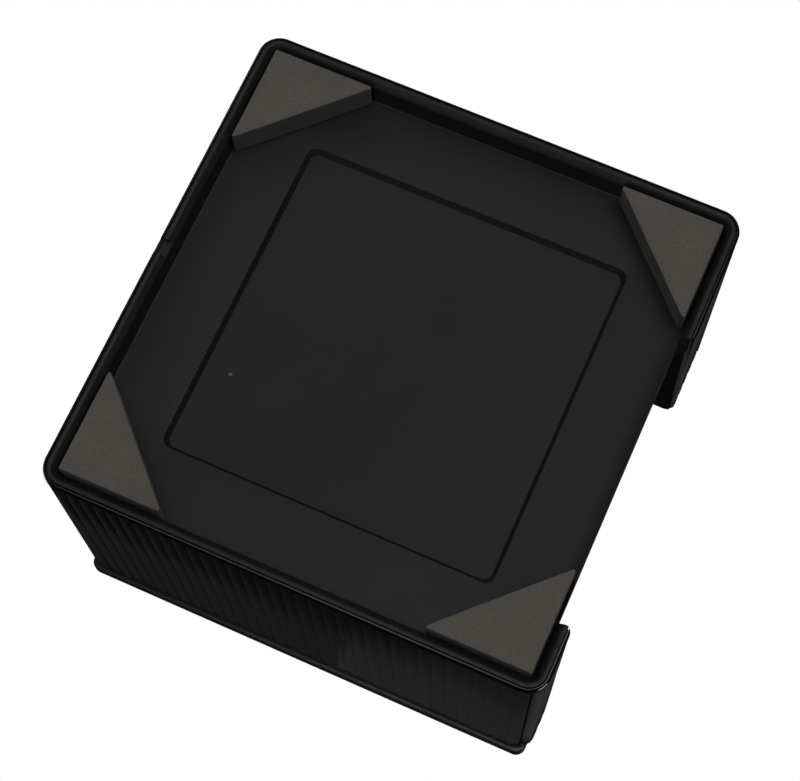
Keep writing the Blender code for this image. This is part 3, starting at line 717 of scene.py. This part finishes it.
class DEMAG_OT_shell(bpy.types.Operator):
    """Make the ribbed wall with its rounded lip and its rear bay"""
    bl_idname = "demag.shell"
    bl_label = "Ribbed shell"

    def execute(self, context):
        case = context.scene.demag_case
        core = HALF - case.reed_depth
        lip_top = RIM_Z + case.lip_height
        top = SHELL[1].z
        levels = []
        for sine, cosine in bend(9):
            inset = case.lip_edge * (1 - sine)
            levels.append((RIM_Z + case.lip_roll * (1 - cosine),
                           square(HALF - inset, case.corner - inset)))
        levels.append((lip_top - 0.15 * MM, square(HALF, case.corner)))
        levels.append((lip_top, square(HALF - 0.12 * MM, case.corner)))
        wall = square(core, case.corner - case.reed_depth)
        levels += [(lip_top + 0.02 * MM, wall), (top, wall)]
        inside = square(WALL_INSIDE, 1.2 * MM)
        rebate_half = TRAY_HALF + 0.25 * MM
        rebate = beside_wall(case, rebate_half)
        seat = beside_wall(case, case.rim_outside + 0.15 * MM)
        shell = cut(loft(levels), loft([(-MM, inside), (DECK_Z, inside)]),
                    loft([(-MM, seat), (SEAT_TOP, seat), (SEAT_TOP, rebate), (REBATE_TOP, rebate)]))
        # the panel slides into slots in two cheeks
        slot_y = (PANEL[0].y - 0.3 * MM, PANEL[1].y + 0.3 * MM)
        for x0, x1 in ((-WALL_BITE, bay_edges(DECK_Z)[0] + 4 * MM),
                       (bay_edges(RIM_Z)[1] - MM, PANEL[1].x + 2.4 * MM)):
            shell = joined(shell, box(x0, x1, PANEL[0].y - 1.4 * MM, WALL_BITE, REBATE_TOP,
                                      top - 0.2 * MM))
        shell = cut(shell,
                    box(PANEL[0].x - 0.3 * MM, PANEL[1].x + 0.3 * MM, *slot_y, 7 * MM, DECK_Z),
                    box(PANEL[0].x + 1.8 * MM, PANEL[1].x - 1.8 * MM, slot_y[0] - 5 * MM,
                        slot_y[0] + 0.5 * MM, 7 * MM, DECK_Z),
                    bay_cutter(slot_y[0] + 0.2 * MM), nick_cutter(rebate_half - 0.5 * MM))
        for spot in POSTS:
            web = sorted((spot[0], math.copysign(WALL_BITE, spot[0])))
            shell = joined(shell, rod(8.3 * MM, 20 * MM, 3.1 * MM, 24, spot),
                           box(*web, spot[1] - MM, spot[1] + MM, 8.4 * MM, 19.8 * MM))
            shell = cut(shell, rod(0, 22 * MM, 1.7 * MM, 20, spot))
        piece("ribbed_shell_wall", shell, "wall_gloss", ["ribbed_shell"])
        reeds = reed_ring("upright_reeds", case.reeds, core, case.corner - case.reed_depth,
                          case.reed_depth - 0.1 * MM, lip_top - 0.1 * MM, top,
                          finish("wall_gloss"))
        piece("shell_reeds", cut(reeds, bay_cutter(slot_y[0])), "wall_gloss")
        return {"FINISHED"}


class DEMAG_OT_tray(bpy.types.Operator):
    """Make the recessed base tray with its rim and label recess"""
    bl_idname = "demag.tray"
    bl_label = "Base tray"

    def execute(self, context):
        case = context.scene.demag_case
        floor, edge, flange = RIM_Z + case.floor_depth, 0.16 * MM, case.rim_outside
        outline = [(RIM_Z + edge * (1 - cosine), flange - edge * (1 - sine))
                   for sine, cosine in bend(3)]
        outline += [(FLANGE_TOP, flange), (FLANGE_TOP, TRAY_HALF), (PLATE_TOP, TRAY_HALF)]
        inside, chamfer, foot = case.rim_inside, case.rim_chamfer, 0.3 * MM
        hollow = [(-MM, inside + chamfer + edge), (RIM_Z, inside + chamfer + edge),
                  (RIM_Z + 0.3 * edge, inside + chamfer),
                  (RIM_Z + 0.8 * edge, inside + chamfer - 0.6 * edge),
                  (RIM_Z + chamfer - 0.4 * edge, inside + 0.6 * edge),
                  (RIM_Z + chamfer + edge, inside)]
        hollow += [(floor - foot * (1 - sine), inside - foot * (1 - cosine))
                   for sine, cosine in bend(5, 1)]
        tray = cut(*(loft([(z, beside_wall(case, half)) for z, half in pairs])
                     for pairs in (outline, hollow)), self.label_cutter(case, floor))
        tray = cut(tray, box(*BAY_FOOT, case.rim_inside, HALF + MM, -MM, PLATE_TOP + MM),
                   nick_cutter(case.rim_inside - 0.2 * MM))
        for spot, (_, sx, sy) in zip(POSTS, CORNERS):
            countersink = [(floor - 0.3 * MM, 2.6 * MM), (floor + 1.75 * MM, 1.65 * MM)]
            tray = cut(tray, turned(countersink, 24, spot), rod(0, 10 * MM, 1.65 * MM, 24, spot))
            spot = (sx * 24.5 * MM, sy * 13 * MM - MM)
            tray = joined(tray, cut(rod(7.6 * MM, 11.7 * MM, 3 * MM, 24, spot),
                                    rod(8.5 * MM, 15 * MM, 1.1 * MM, 16, spot)))
        piece("base_tray_plate", tray, "base_satin", ["base_tray"], 40)
        return {"FINISHED"}

    def label_cutter(self, case, floor):
        """The recess: a rolled upper edge, a sloped wall and a small fillet at its floor."""
        half, deep, roll, fillet = case.label_half, case.label_depth, 0.12 * MM, 0.14 * MM
        slope_sine, slope_cosine = bend(1, 1, SLOPE)[0]
        profile = [(floor - 0.4 * MM, half + roll), (floor, half + roll)]
        profile += [(floor + roll * (1 - cosine), half + roll - roll * sine)
                    for sine, cosine in bend(4, 1, SLOPE)]
        last_z, last_half = profile[-1]
        low_z = floor + deep - fillet * (1 - slope_cosine)
        low_half = last_half - (low_z - last_z) / math.tan(math.radians(SLOPE))
        profile += [(floor + deep - fillet * (1 - cosine), low_half - fillet * (slope_sine - sine))
                    for sine, cosine in reversed(bend(4, 0, SLOPE))]
        return loft([(z, square(size, 1.6 * MM - (half - size) * 0.5)) for z, size in profile])


class DEMAG_OT_cover(bpy.types.Operator):
    """Make the top cover: its deck, its locating lip and its screw posts"""
    bl_idname = "demag.cover"
    bl_label = "Top cover"

    def execute(self, context):
        case = context.scene.demag_case
        low_edge, bite = 0.35 * MM, DECK_LOW + 0.3 * MM
        half_x, half_y = COVER[1].x, COVER[1].y
        outline = [(DECK_LOW + low_edge * (1 - cosine), low_edge * (1 - sine))
                   for sine, cosine in bend(3)]
        outline += arc(DECK_Z - 1.4 * MM, DECK_Z, 1.2 * MM, 6)
        cover = loft([(z, rounded(half_x - inset, half_y - inset,
                                  max(0.3 * MM, case.cover_corner - inset)))
                      for z, inset in outline])
        # the lip locates the cover inside the wall and stops at the rear panel
        outer, inner, low = 37.1 * MM, 35.9 * MM, 46.8 * MM
        lip = cut(loft([(z, square(outer, MM)) for z in (low, bite)]),
                  loft([(z, square(inner, 0.6 * MM)) for z in (low - MM, DECK_LOW)]),
                  box(-HALF, HALF, PANEL[0].y - 1.8 * MM, HALF, low - MM, DECK_LOW))
        cover = joined(cover, lip)
        for spot in POSTS:
            cover = joined(cover, cut(rod(20.3 * MM, bite, 2.9 * MM, 24, spot),
                                      rod(19 * MM, 34 * MM, 1.6 * MM, 16, spot)))
        for spot in millimetres((-27.3, -34), (-27.3, -22.8), (27.3, -34), (27.3, -22.8)):
            cover = joined(cover, cut(rod(37.9 * MM, bite, 2.2 * MM, 20, spot),
                                      rod(36 * MM, 44 * MM, 1.1 * MM, 12, spot)))
        middle, half = (MAT[0] + MAT[1]) / 2, (MAT[1] - MAT[0]) / 2
        edge, gap = 0.4 * MM, 0.3 * MM
        well = [(MAT[0].z - 0.2 * MM, gap), (DECK_Z - edge, gap)]
        well += [(DECK_Z - edge + edge * sine, gap + edge * (1 - cosine))
                 for sine, cosine in bend(4, 1)]
        well.append((DECK_Z + MM, gap + edge))
        cutter = loft([(z, rounded(half.x + grow, half.y + grow, 3 * MM + grow,
                                   (middle.x, middle.y))) for z, grow in well])
        left, right = BAY_HEAD
        cover = cut(cover, cutter,
                    box(left - 0.4 * MM, right + 0.4 * MM, 35 * MM, HALF + 5 * MM, low, 60 * MM),
                    rod(45 * MM, 54 * MM, 8.3 * MM, 48, BUTTON_SPOT),
                    rod(48 * MM, 54 * MM, 3.3 * MM, 32, LAMP_SPOT))
        piece("top_cover_shell", cover, "cover_satin", ["top_cover"])
        return {"FINISHED"}


class DEMAG_OT_feet(bpy.types.Operator):
    """Make the four foam feet"""
    bl_idname = "demag.feet"
    bl_label = "Foam feet"

    def execute(self, context):
        near, far, top, tip = FOOT[1].x, FOOT[0].x, FOOT[1].z, 0.5 * MM
        outline = [(near, near), (far, near), (far, near - tip), (near - tip, far), (near, far)]
        for quarter, name in enumerate(("rear_right", "rear_left", "front_left", "front_right")):
            mesh = softened(loft([(0.0, outline), (top, outline)]), 0.22 * MM)
            mesh.transform(Matrix.Rotation(quarter * math.pi / 2, 4, "Z"))
            self.press(mesh, quarter)
            made = piece("foot_pad_" + name, mesh, "foam_face foam_cut",
                         ["foam_foot_" + name], 60)
            # faces that look up or down get the foam; the sides get the darker copy, the cut foam's
            # own tone plus painted shade
            for face in made.data.polygons:
                face.material_index = 0 if abs(face.normal.z) > 0.7 else 1
        return {"FINISHED"}

    def press(self, mesh, seed):
        """Divide the pad and let its skin wander a little, as pressed foam does."""
        bm = bmesh.new()
        bm.from_mesh(mesh)
        bmesh.ops.triangulate(bm, faces=[f for f in bm.faces if len(f.verts) > 4])
        for _ in range(4):
            long_edges = [e for e in bm.edges if e.calc_length() > 1.6 * MM]
            if long_edges:
                bmesh.ops.subdivide_edges(bm, edges=long_edges, cuts=1, use_grid_fill=False)
                bmesh.ops.triangulate(bm, faces=[f for f in bm.faces if len(f.verts) > 4])
        for vert in bm.verts:
            place = vert.co * 900 + Vector((seed * 7.0, 0, 0))
            sway = math.sin(place.x * 0.9 + math.sin(place.y * 1.3))
            sway *= math.cos(place.y * 0.7 + place.z)
            flat = 1.0 if 0.4 * MM < vert.co.z else 0.45
            vert.co.x += 0.035 * MM * sway * flat
            vert.co.y += 0.035 * MM * math.cos(place.x + place.z * 1.7) * flat
            vert.co.x = max(-FOOT[1].x, min(FOOT[1].x, vert.co.x))
            vert.co.y = max(-FOOT[1].y, min(FOOT[1].y, vert.co.y))
        bm.to_mesh(mesh)
        bm.free()


class DEMAG_OT_mat(bpy.types.Operator):
    """Make the rubber watch mat with its rows of nubs"""
    bl_idname = "demag.mat"
    bl_label = "Watch mat"

    def execute(self, context):
        soft = context.scene.demag_soft
        low, high = MAT
        middle, half = (low + high) / 2, (high - low) / 2
        top = high.z - 0.25 * MM
        mesh = loft([(z, rounded(half.x - inset, half.y - inset, 3 * MM - inset,
                                 (middle.x, middle.y)))
                     for z, inset in arc(low.z, top, 0.3 * MM, 4)])
        piece("watch_mat_sheet", mesh, "mat_rubber", ["watch_mat"])
        pitch = soft.nub_pitch
        columns, rows = int((2 * half.x - 5 * MM) / pitch), int((2 * half.y - 5 * MM) / pitch)
        spots = [(middle.x + (i - columns / 2) * pitch, middle.y + (j - rows / 2) * pitch, top)
                 for i in range(columns + 1) for j in range(rows + 1)]
        nub = turned(millimetres((-0.1, 0.75), (0.05, 0.72), (0.17, 0.55), (0.24, 0.25)), 10)
        piece("mat_nubs", set_out("mat_nubs", nub, spots, finish("mat_rubber")), "mat_rubber")
        return {"FINISHED"}


class DEMAG_OT_button(bpy.types.Operator):
    """Make the push button, its bezel, spring and switch, and the lamp"""
    bl_idname = "demag.button"
    bl_label = "Button and lamp"

    def execute(self, context):
        low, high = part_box("push_button")
        spot, r, top = middle_of(low, high), 6.9 * MM, high.z
        profile = millimetres((46.1, 7.5), (46.2, 7.7), (47.2, 7.7), (47.3, 7.5), (47.3, 6.9))
        profile += [(z, r - inset) for z, inset in arc(48 * MM, top, 1.0 * MM, 6)[1:]]
        profile += [(top - 0.02 * MM, r - 1.3 * MM), (top - 0.25 * MM, r - 2.6 * MM),
                    (top - 0.42 * MM, r - 4.4 * MM), (top - 0.46 * MM, 0.4 * MM)]
        cap = cut(turned(profile, 64, spot), rod(45 * MM, 53.5 * MM, 5.7 * MM, 48, spot))
        cap = joined(cap, rod(44.9 * MM, 54 * MM, 1.8 * MM, 24, spot))
        piece("push_button_cap", cap, "button_red", ["push_button"], 28, "button")
        low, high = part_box("button_bezel")
        profile = [(low.z, 7.8 * MM), (low.z + 0.2 * MM, 8 * MM), (BEZEL_LOW, 8 * MM)]
        profile += [(BEZEL_LOW, 9.8 * MM)]
        profile += millimetres((52.95, 10), (53.3, 9.97), (53.6, 9.8), (53.85, 9.45))
        profile += [(high.z, 8.8 * MM)]
        bore = [(40 * MM, 7.3 * MM), (high.z - 0.45 * MM, 7.3 * MM),
                (high.z - 0.2 * MM, 7.45 * MM), (high.z + 0.3 * MM, 8.0 * MM)]
        ring = cut(turned(profile, 64, spot), turned(bore, 64, spot))
        piece("button_bezel_ring", ring, "wall_gloss", ["button_bezel"], 28)
        piece("switch_body_moulding", softened(tidy_copy("switch_body"), 0.3 * MM),
              "moulding_black", ["switch_body"])
        dress("natural_nylon", "switch_plunger")
        self.spring(spot)
        self.lamp()
        return {"FINISHED"}

    def spring(self, spot):
        """The button's coil spring, with closed end turns, in its rest length."""
        low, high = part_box("button_spring")
        wire, mean, turns, closed = 0.4 * MM, 3.9 * MM, 6.0, 0.75
        span, steps, path = high.z - low.z - 2 * wire, 180, []
        for i in range(steps + 1):
            turn = turns * i / steps
            lift = min(max((turn - closed) / (turns - 2 * closed), 0.0), 1.0)
            angle = 2 * math.pi * turn
            path.append((spot[0] + mean * math.cos(angle), spot[1] + mean * math.sin(angle),
                         low.z + wire + span * lift))
        piece("button_spring_coil", tube_mesh(path, wire), "spring_steel",
              ["button_spring"])

    def lamp(self):
        low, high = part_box("indicator_lens")
        spot, crown = middle_of(low, high), 53.3 * MM
        profile = [(low.z, 2.9 * MM), (low.z + 0.1 * MM, 3 * MM), (BEZEL_LOW, 3 * MM),
                   (BEZEL_LOW, 4.1 * MM), (52.9 * MM, 4.2 * MM), (crown, 4.15 * MM)]
        profile += [(crown + (high.z - crown) * sine, max(0.05 * MM, 4.0 * MM * cosine))
                    for sine, cosine in bend(8, 1)]
        lens = cut(turned(profile, 48, spot), rod(46 * MM, 51.5 * MM, 2.2 * MM, 32, spot))
        piece("indicator_lens_dome", lens, "lens_red", ["indicator_lens"])
        low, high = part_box("indicator_led")
        profile = [(low.z, 2.4 * MM), (low.z + 0.1 * MM, 2.5 * MM), (low.z + 0.8 * MM, 2.5 * MM),
                   (low.z + 0.8 * MM, 1.9 * MM)]
        profile += [(high.z - 1.6 * MM + 1.6 * MM * sine, max(0.05 * MM, 1.9 * MM * cosine))
                    for sine, cosine in bend(6)]
        piece("indicator_led_dome", turned(profile, 32, spot), "led_red",
              ["indicator_led"])
        dress("natural_nylon", "led_spacer")


def tube_mesh(path, radius):
    """A round tube along a path, as a mesh."""
    curve = bpy.data.curves.new("path", "CURVE")
    curve.dimensions = "3D"
    curve.bevel_depth = radius
    curve.bevel_resolution = 3
    curve.use_fill_caps = True
    spline = curve.splines.new("POLY")
    spline.points.add(len(path) - 1)
    for knot, place in zip(spline.points, path):
        knot.co = (*place, 1.0)
    return baked(temporary(curve))


# ---- Operators: rear fittings, coil, board, screws ----

class DEMAG_OT_rear(bpy.types.Operator):
    """Make the rear panel, the mains inlet and the rocker switch"""
    bl_idname = "demag.rear"
    bl_label = "Rear fittings"

    def execute(self, context):
        for node, width, name, look, slot, body in (
                ("rear_panel", 0.25, "rear_panel_plate", "base_satin", "satin_black", "case"),
                ("mains_inlet", 0.3, "mains_inlet_body", "moulding_black", "satin_black", "case"),
                ("rocker_housing", 0.3, "rocker_frame", "moulding_black", "satin_black", "case"),
                ("power_rocker", 0.35, "rocker_paddle", "wall_gloss", "gloss_black", "rocker")):
            mesh = softened(tidy_copy(node), width * MM, 3)
            piece(name, mesh, look, [node], body=body)
        dress("brass", "inlet_pin_left", "inlet_pin_right", "rocker_terminal_lower",
              "rocker_terminal_upper")
        return {"FINISHED"}


class DEMAG_OT_coil(bpy.types.Operator):
    """Wind the coil on its bobbin and stack the core"""
    bl_idname = "demag.coil"
    bl_label = "Coil and core"

    def execute(self, context):
        fit = context.scene.demag_fittings
        piece("coil_bobbin_moulding", softened(tidy_copy("coil_bobbin"), 0.2 * MM),
              "natural_nylon", ["coil_bobbin"])
        low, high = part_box("coil_winding")
        y = (low.y + high.y) / 2
        half = high.x - fit.wire / 2
        turns = int((high.z - low.z) / fit.wire)
        loops = stacked_loops("coil_turns", turns, half, 4.6 * MM, fit.wire, low.z + fit.wire / 2,
                              high.z - fit.wire / 2, finish("enamelled_wire"))
        loops.transform(Matrix.Translation((0, y, 0)))
        piece("coil_outer_turns", loops, "enamelled_wire")
        inner = square(9.9 * MM, 1.2 * MM, (0, y))
        ring = square(half - 0.1 * MM, 4.5 * MM, (0, y))
        bulk = cut(loft([(low.z + 0.1 * MM, ring), (high.z - 0.1 * MM, ring)]),
                   loft([(low.z - MM, inner), (high.z + MM, inner)]))
        piece("coil_inner_turns", bulk, "enamelled_wire", ["coil_winding"])
        low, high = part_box("core_laminations")
        count = int((high.y - low.y) / fit.sheet)
        pitch = (high.y - low.y) / count
        sheets = stacked_sheets("core_sheets", count, pitch * 0.86, high.x, low.z, high.z,
                                low.y + pitch / 2, high.y - pitch / 2, finish("core_steel"))
        piece("core_sheet_stack", sheets, "core_steel", ["core_laminations"])
        return {"FINISHED"}


class DEMAG_OT_board(bpy.types.Operator):
    """Make the circuit board and what stands on it"""
    bl_idname = "demag.board"
    bl_label = "Circuit board"

    def execute(self, context):
        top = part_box("circuit_board")[1].z
        dress("board_green", "circuit_board")
        for node, width, look, slot in (
                ("terminal_block", 0.3, "natural_nylon", "nylon"),
                ("power_triac", 0.2, "moulding_black", "component_black"),
                ("heat_sink", 0.2, "aluminium", "aluminium")):
            piece(node + "_body", softened(tidy_copy(node), width * MM), look, [node])
        dress("sleeve_blue", "ring_capacitor")
        dress("fuse_glass", "fuse_tube")
        dress("brass", "fuse_clip_left", "fuse_clip_right")
        joints = [(x * MM, -22.5 * MM, top) for x in (-25, -21, -17, 11.25, 14.75, 18.25, 21.75)]
        joints += [(x * MM, y * MM, top) for x in (-8, -3, 2, 6) for y in (-34, -24)]
        dome = turned(millimetres((0.0, 0.9), (0.25, 0.6), (0.6, 0.3), (0.8, 0.2)), 12)
        piece("solder_joints", set_out("solder_joints", dome, joints, finish("solder")), "solder")
        return {"FINISHED"}


class DEMAG_OT_screws(bpy.types.Operator):
    """Set out the screws of the case, the coil and the board"""
    bl_idname = "demag.screws"
    bl_label = "Screws"

    def execute(self, context):
        for kind, down in (("case_screw", False), ("coil_screw", True), ("board_screw", False)):
            nodes = [f"{kind}_{corner}" for corner, _, _ in CORNERS]
            boxes = [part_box(node) for node in nodes]
            spots = [(*middle_of(low, high), high.z if down else low.z) for low, high in boxes]
            low, high = boxes[0]
            master = self.screw(high.z - low.z, (high.x - low.x) / 2, kind == "case_screw", down)
            mesh = set_out(kind + "s", master, spots, finish("zinc"))
            piece(kind + "_set", mesh, "zinc", nodes)
        return {"FINISHED"}

    def screw(self, tall, head, flat, down):
        """A cross-headed screw with its head on the origin and its shank pointing up, or down."""
        shank, pitch = (1.25 * MM, 0.9 * MM) if flat else (0.8 * MM, 0.6 * MM)
        neck = 1.3 * MM
        if flat:
            profile = [(0.0, head - 0.1 * MM), (0.1 * MM, head), (0.3 * MM, head), (neck, shank)]
        else:
            profile = [(0.0, head * 0.45), (0.15 * MM, head * 0.75), (0.5 * MM, head),
                       (neck, head), (neck, shank)]
        z = neck + pitch / 2
        while z < tall - 1.2 * MM:
            profile += [(z, shank * 0.78), (z + pitch / 2, shank)]
            z += pitch
        profile += [(tall - 0.8 * MM, shank * 0.7), (tall, 0.15 * MM)]
        mesh = turned(profile, 24)
        arm, width, deep = head * 0.62, head * 0.16, 0.9 * MM
        mesh = cut(mesh, box(-arm, arm, -width, width, -MM, deep * 0.8),
                   box(-width, width, -arm, arm, -MM, deep * 0.79))
        if down:
            mesh.transform(Matrix.Rotation(math.pi, 4, "X"))
        return mesh


class DEMAG_OT_leads(bpy.types.Operator):
    """Dress the internal leads"""
    bl_idname = "demag.leads"
    bl_label = "Leads"

    def execute(self, context):
        dress("wire_red", "bridge_lead", "live_lead")
        dress("wire_black", "neutral_lead")
        dress("wire_yellow", "coil_lead_start", "coil_lead_end")
        return {"FINISHED"}


# ---- Stage ----

class DEMAG_OT_stage(bpy.types.Operator):
    """Set the floor, the world, the soft lights and the camera"""
    bl_idname = "demag.stage"
    bl_label = "Stage"

    def execute(self, context):
        stage = context.scene.demag_stage
        context.scene.view_settings.view_transform = "Standard"
        self.world(context.scene)
        self.floor(stage)
        # name, direction from the object, distance, size, radiance
        lights = (
            ("key_below", (0.12, 0.35, -0.92), 1.1, (0.6, 0.6), 1.6 * stage.key),
            ("frontal_below", (-0.2, 0.0, -0.98), 1.2, (0.4, 0.4), 1.5 * stage.fill),
            ("side_below", (-0.84, -0.15, -0.52), 1.1, (0.4, 0.5), 1.0 * stage.fill),
            ("front_below", (0.5, -0.62, -0.6), 1.1, (0.55, 0.4), 0.9 * stage.fill),
            ("top_front", (-0.15, -0.72, 0.62), 1.1, (0.6, 0.5), 3.0 * stage.fill),
            ("top_right", (0.75, 0.2, 0.62), 1.1, (0.5, 0.5), 2.0 * stage.fill),
            ("top_rear", (-0.3, 0.8, 0.55), 1.2, (0.5, 0.5), 2.5 * stage.fill),
            ("overhead", (0.5, -0.45, 0.74), 1.1, (0.4, 0.4), 3.0 * stage.fill),
        )
        middle = Vector((0, 0, 0.025))
        for name, direction, distance, size, radiance in lights:
            place = middle + Vector(direction).normalized() * distance
            self.light(name, place, middle, size, radiance)
        # cards beside the top, seen only as a faint sheen in the walls
        cards = [("side_card", (-0.0452, 0.0, 0.061), (0.0066, 0.11), 0.018),
                 ("rear_card", (0.01, 0.047, 0.061), (0.1, 0.01), 0.05)]
        # six more lie on one another, so that the sheen grows towards the rear corner
        inner_x, rear, high = -0.0419, 0.055, 0.062
        for step in range(6):
            front, wide = 0.004 + 0.005 * step, 0.0066 + 0.0012 * step
            cards.append((f"corner_card_{step}",
                          (inner_x - 0.5 * wide, 0.5 * (front + rear), high),
                          (wide, rear - front), 0.014))
        for name, place, size, radiance in cards:
            place = Vector(place)
            self.light(name, place, place - Vector((0, 0, 1)), size, radiance * stage.fill)
        self.camera(context.scene, stage)
        return {"FINISHED"}

    def world(self, scene):
        """White behind the object; for everything else a dark room that is lighter on one side."""
        world = bpy.data.worlds.new("studio")
        scene.world = world
        world.use_nodes = True
        tree = world.node_tree
        tree.nodes.clear()
        # from (0.1, 0, -1) comes the most light
        side = node_in(tree, "ShaderNodeVectorMath", {"operation": "DOT_PRODUCT"})
        put(tree, side.inputs[0], node_in(tree, "ShaderNodeTexCoord").outputs["Generated"])
        put(tree, side.inputs[1], (0.1, 0.0, -1.0))
        ramp = node_in(tree, "ShaderNodeMapRange", {"interpolation_type": "SMOOTHSTEP"},
                       Value=side.outputs["Value"], From_Min=0.0, From_Max=0.85, To_Min=0.007,
                       To_Max=0.185)
        room = node_in(tree, "ShaderNodeBackground", Color=(0.97, 0.98, 1.0, 1),
                       Strength=ramp.outputs[0])
        seen = node_in(tree, "ShaderNodeBackground", Color=(1, 1, 1, 1))
        mix, out = node_in(tree, "ShaderNodeMixShader"), node_in(tree, "ShaderNodeOutputWorld")
        path = node_in(tree, "ShaderNodeLightPath").outputs["Is Camera Ray"]
        for socket, value in zip(mix.inputs, (path, room.outputs[0], seen.outputs[0])):
            put(tree, socket, value)
        put(tree, out.inputs["Surface"], mix.outputs[0])

    def floor(self, stage):
        """A pale floor that shows only from above, so the underside can be seen through it."""
        mesh = bpy.data.meshes.new("floor")
        reach = 1.6
        mesh.from_pydata([(x, y, 0) for x, y in rectangle(-reach, reach, -reach, reach)], [],
                         [(0, 1, 2, 3)])
        floor = bpy.data.objects.new("floor", mesh)
        bpy.context.scene.collection.objects.link(floor)
        paint = bpy.data.materials.new("floor_paint")
        paint.use_nodes = True
        tree = paint.node_tree
        shader = tree.nodes["Principled BSDF"]
        put(tree, shader.inputs["Base Color"], (*stage.floor, 1))
        put(tree, shader.inputs["Roughness"], 0.8)
        below = node_in(tree, "ShaderNodeNewGeometry").outputs["Backfacing"]
        through = node_in(tree, "ShaderNodeBsdfTransparent")
        mix = node_in(tree, "ShaderNodeMixShader")
        for socket, value in zip(mix.inputs, (below, shader.outputs[0], through.outputs[0])):
            put(tree, socket, value)
        put(tree, tree.nodes["Material Output"].inputs["Surface"], mix.outputs[0])
        mesh.materials.append(paint)
        floor.visible_diffuse = False
        floor.visible_glossy = False
        floor.visible_shadow = False

    def light(self, name, place, aim, size, radiance):
        """A soft box facing its aim; its power follows from its size and radiance."""
        data = bpy.data.lights.new(name, "AREA")
        data.shape = "RECTANGLE"
        data.size, data.size_y = size
        data.energy = radiance * size[0] * size[1] * math.pi
        made = bpy.data.objects.new(name, data)
        made.location = place
        made.rotation_euler = (aim - place).to_track_quat("-Z", "Y").to_euler()
        made.visible_camera = False
        bpy.context.scene.collection.objects.link(made)

    def camera(self, scene, stage):
        """A camera under the bench, looking up at the base."""
        data = bpy.data.cameras.new("camera")
        data.sensor_width = 36.0
        data.lens = stage.lens
        data.clip_start = 0.01
        made = bpy.data.objects.new("camera", data)
        right, up = Vector(CAMERA_RIGHT), Vector(CAMERA_UP)
        up = (up - right * up.dot(right) / right.length_squared).normalized()
        right.normalize()
        axes = Matrix((right, up, right.cross(up))).transposed().to_4x4()
        made.matrix_world = Matrix.Translation(CAMERA_PLACE) @ axes
        scene.collection.objects.link(made)
        scene.camera = made


class DEMAG_PT_panel(bpy.types.Panel):
    """Lists the pieces and their settings"""
    bl_idname = "DEMAG_PT_panel"
    bl_label = "Demagnetizer"
    bl_space_type = "VIEW_3D"
    bl_region_type = "UI"
    bl_category = "Demagnetizer"

    def draw(self, context):
        for operator in OPERATORS:
            self.layout.operator(operator.bl_idname)
        for name, group in GROUPS.items():
            column = self.layout.column(heading=name)
            for key in group.__annotations__:
                column.prop(getattr(context.scene, name), key)


GROUPS = {"demag_case": CaseSettings, "demag_soft": SoftSettings, "demag_fittings": FittingSettings,
          "demag_stage": StageSettings}
OPERATORS = (DEMAG_OT_stage, DEMAG_OT_shell, DEMAG_OT_tray, DEMAG_OT_cover, DEMAG_OT_feet,
             DEMAG_OT_mat, DEMAG_OT_button, DEMAG_OT_rear, DEMAG_OT_coil, DEMAG_OT_board,
             DEMAG_OT_screws, DEMAG_OT_leads)


def register():
    for made in (*GROUPS.values(), *OPERATORS, DEMAG_PT_panel):
        bpy.utils.register_class(made)
    for name, group in GROUPS.items():
        setattr(bpy.types.Scene, name, bpy.props.PointerProperty(type=group))


def unregister():
    for name in GROUPS:
        delattr(bpy.types.Scene, name)
    for made in reversed((*GROUPS.values(), *OPERATORS, DEMAG_PT_panel)):
        bpy.utils.unregister_class(made)


def main():
    register()
    for operator in OPERATORS:
        family, name = operator.bl_idname.split(".")
        if getattr(getattr(bpy.ops, family), name)() != {"FINISHED"}:
            raise RuntimeError(operator.bl_label + " wasn't made")


if __name__ == "__main__":
    main()
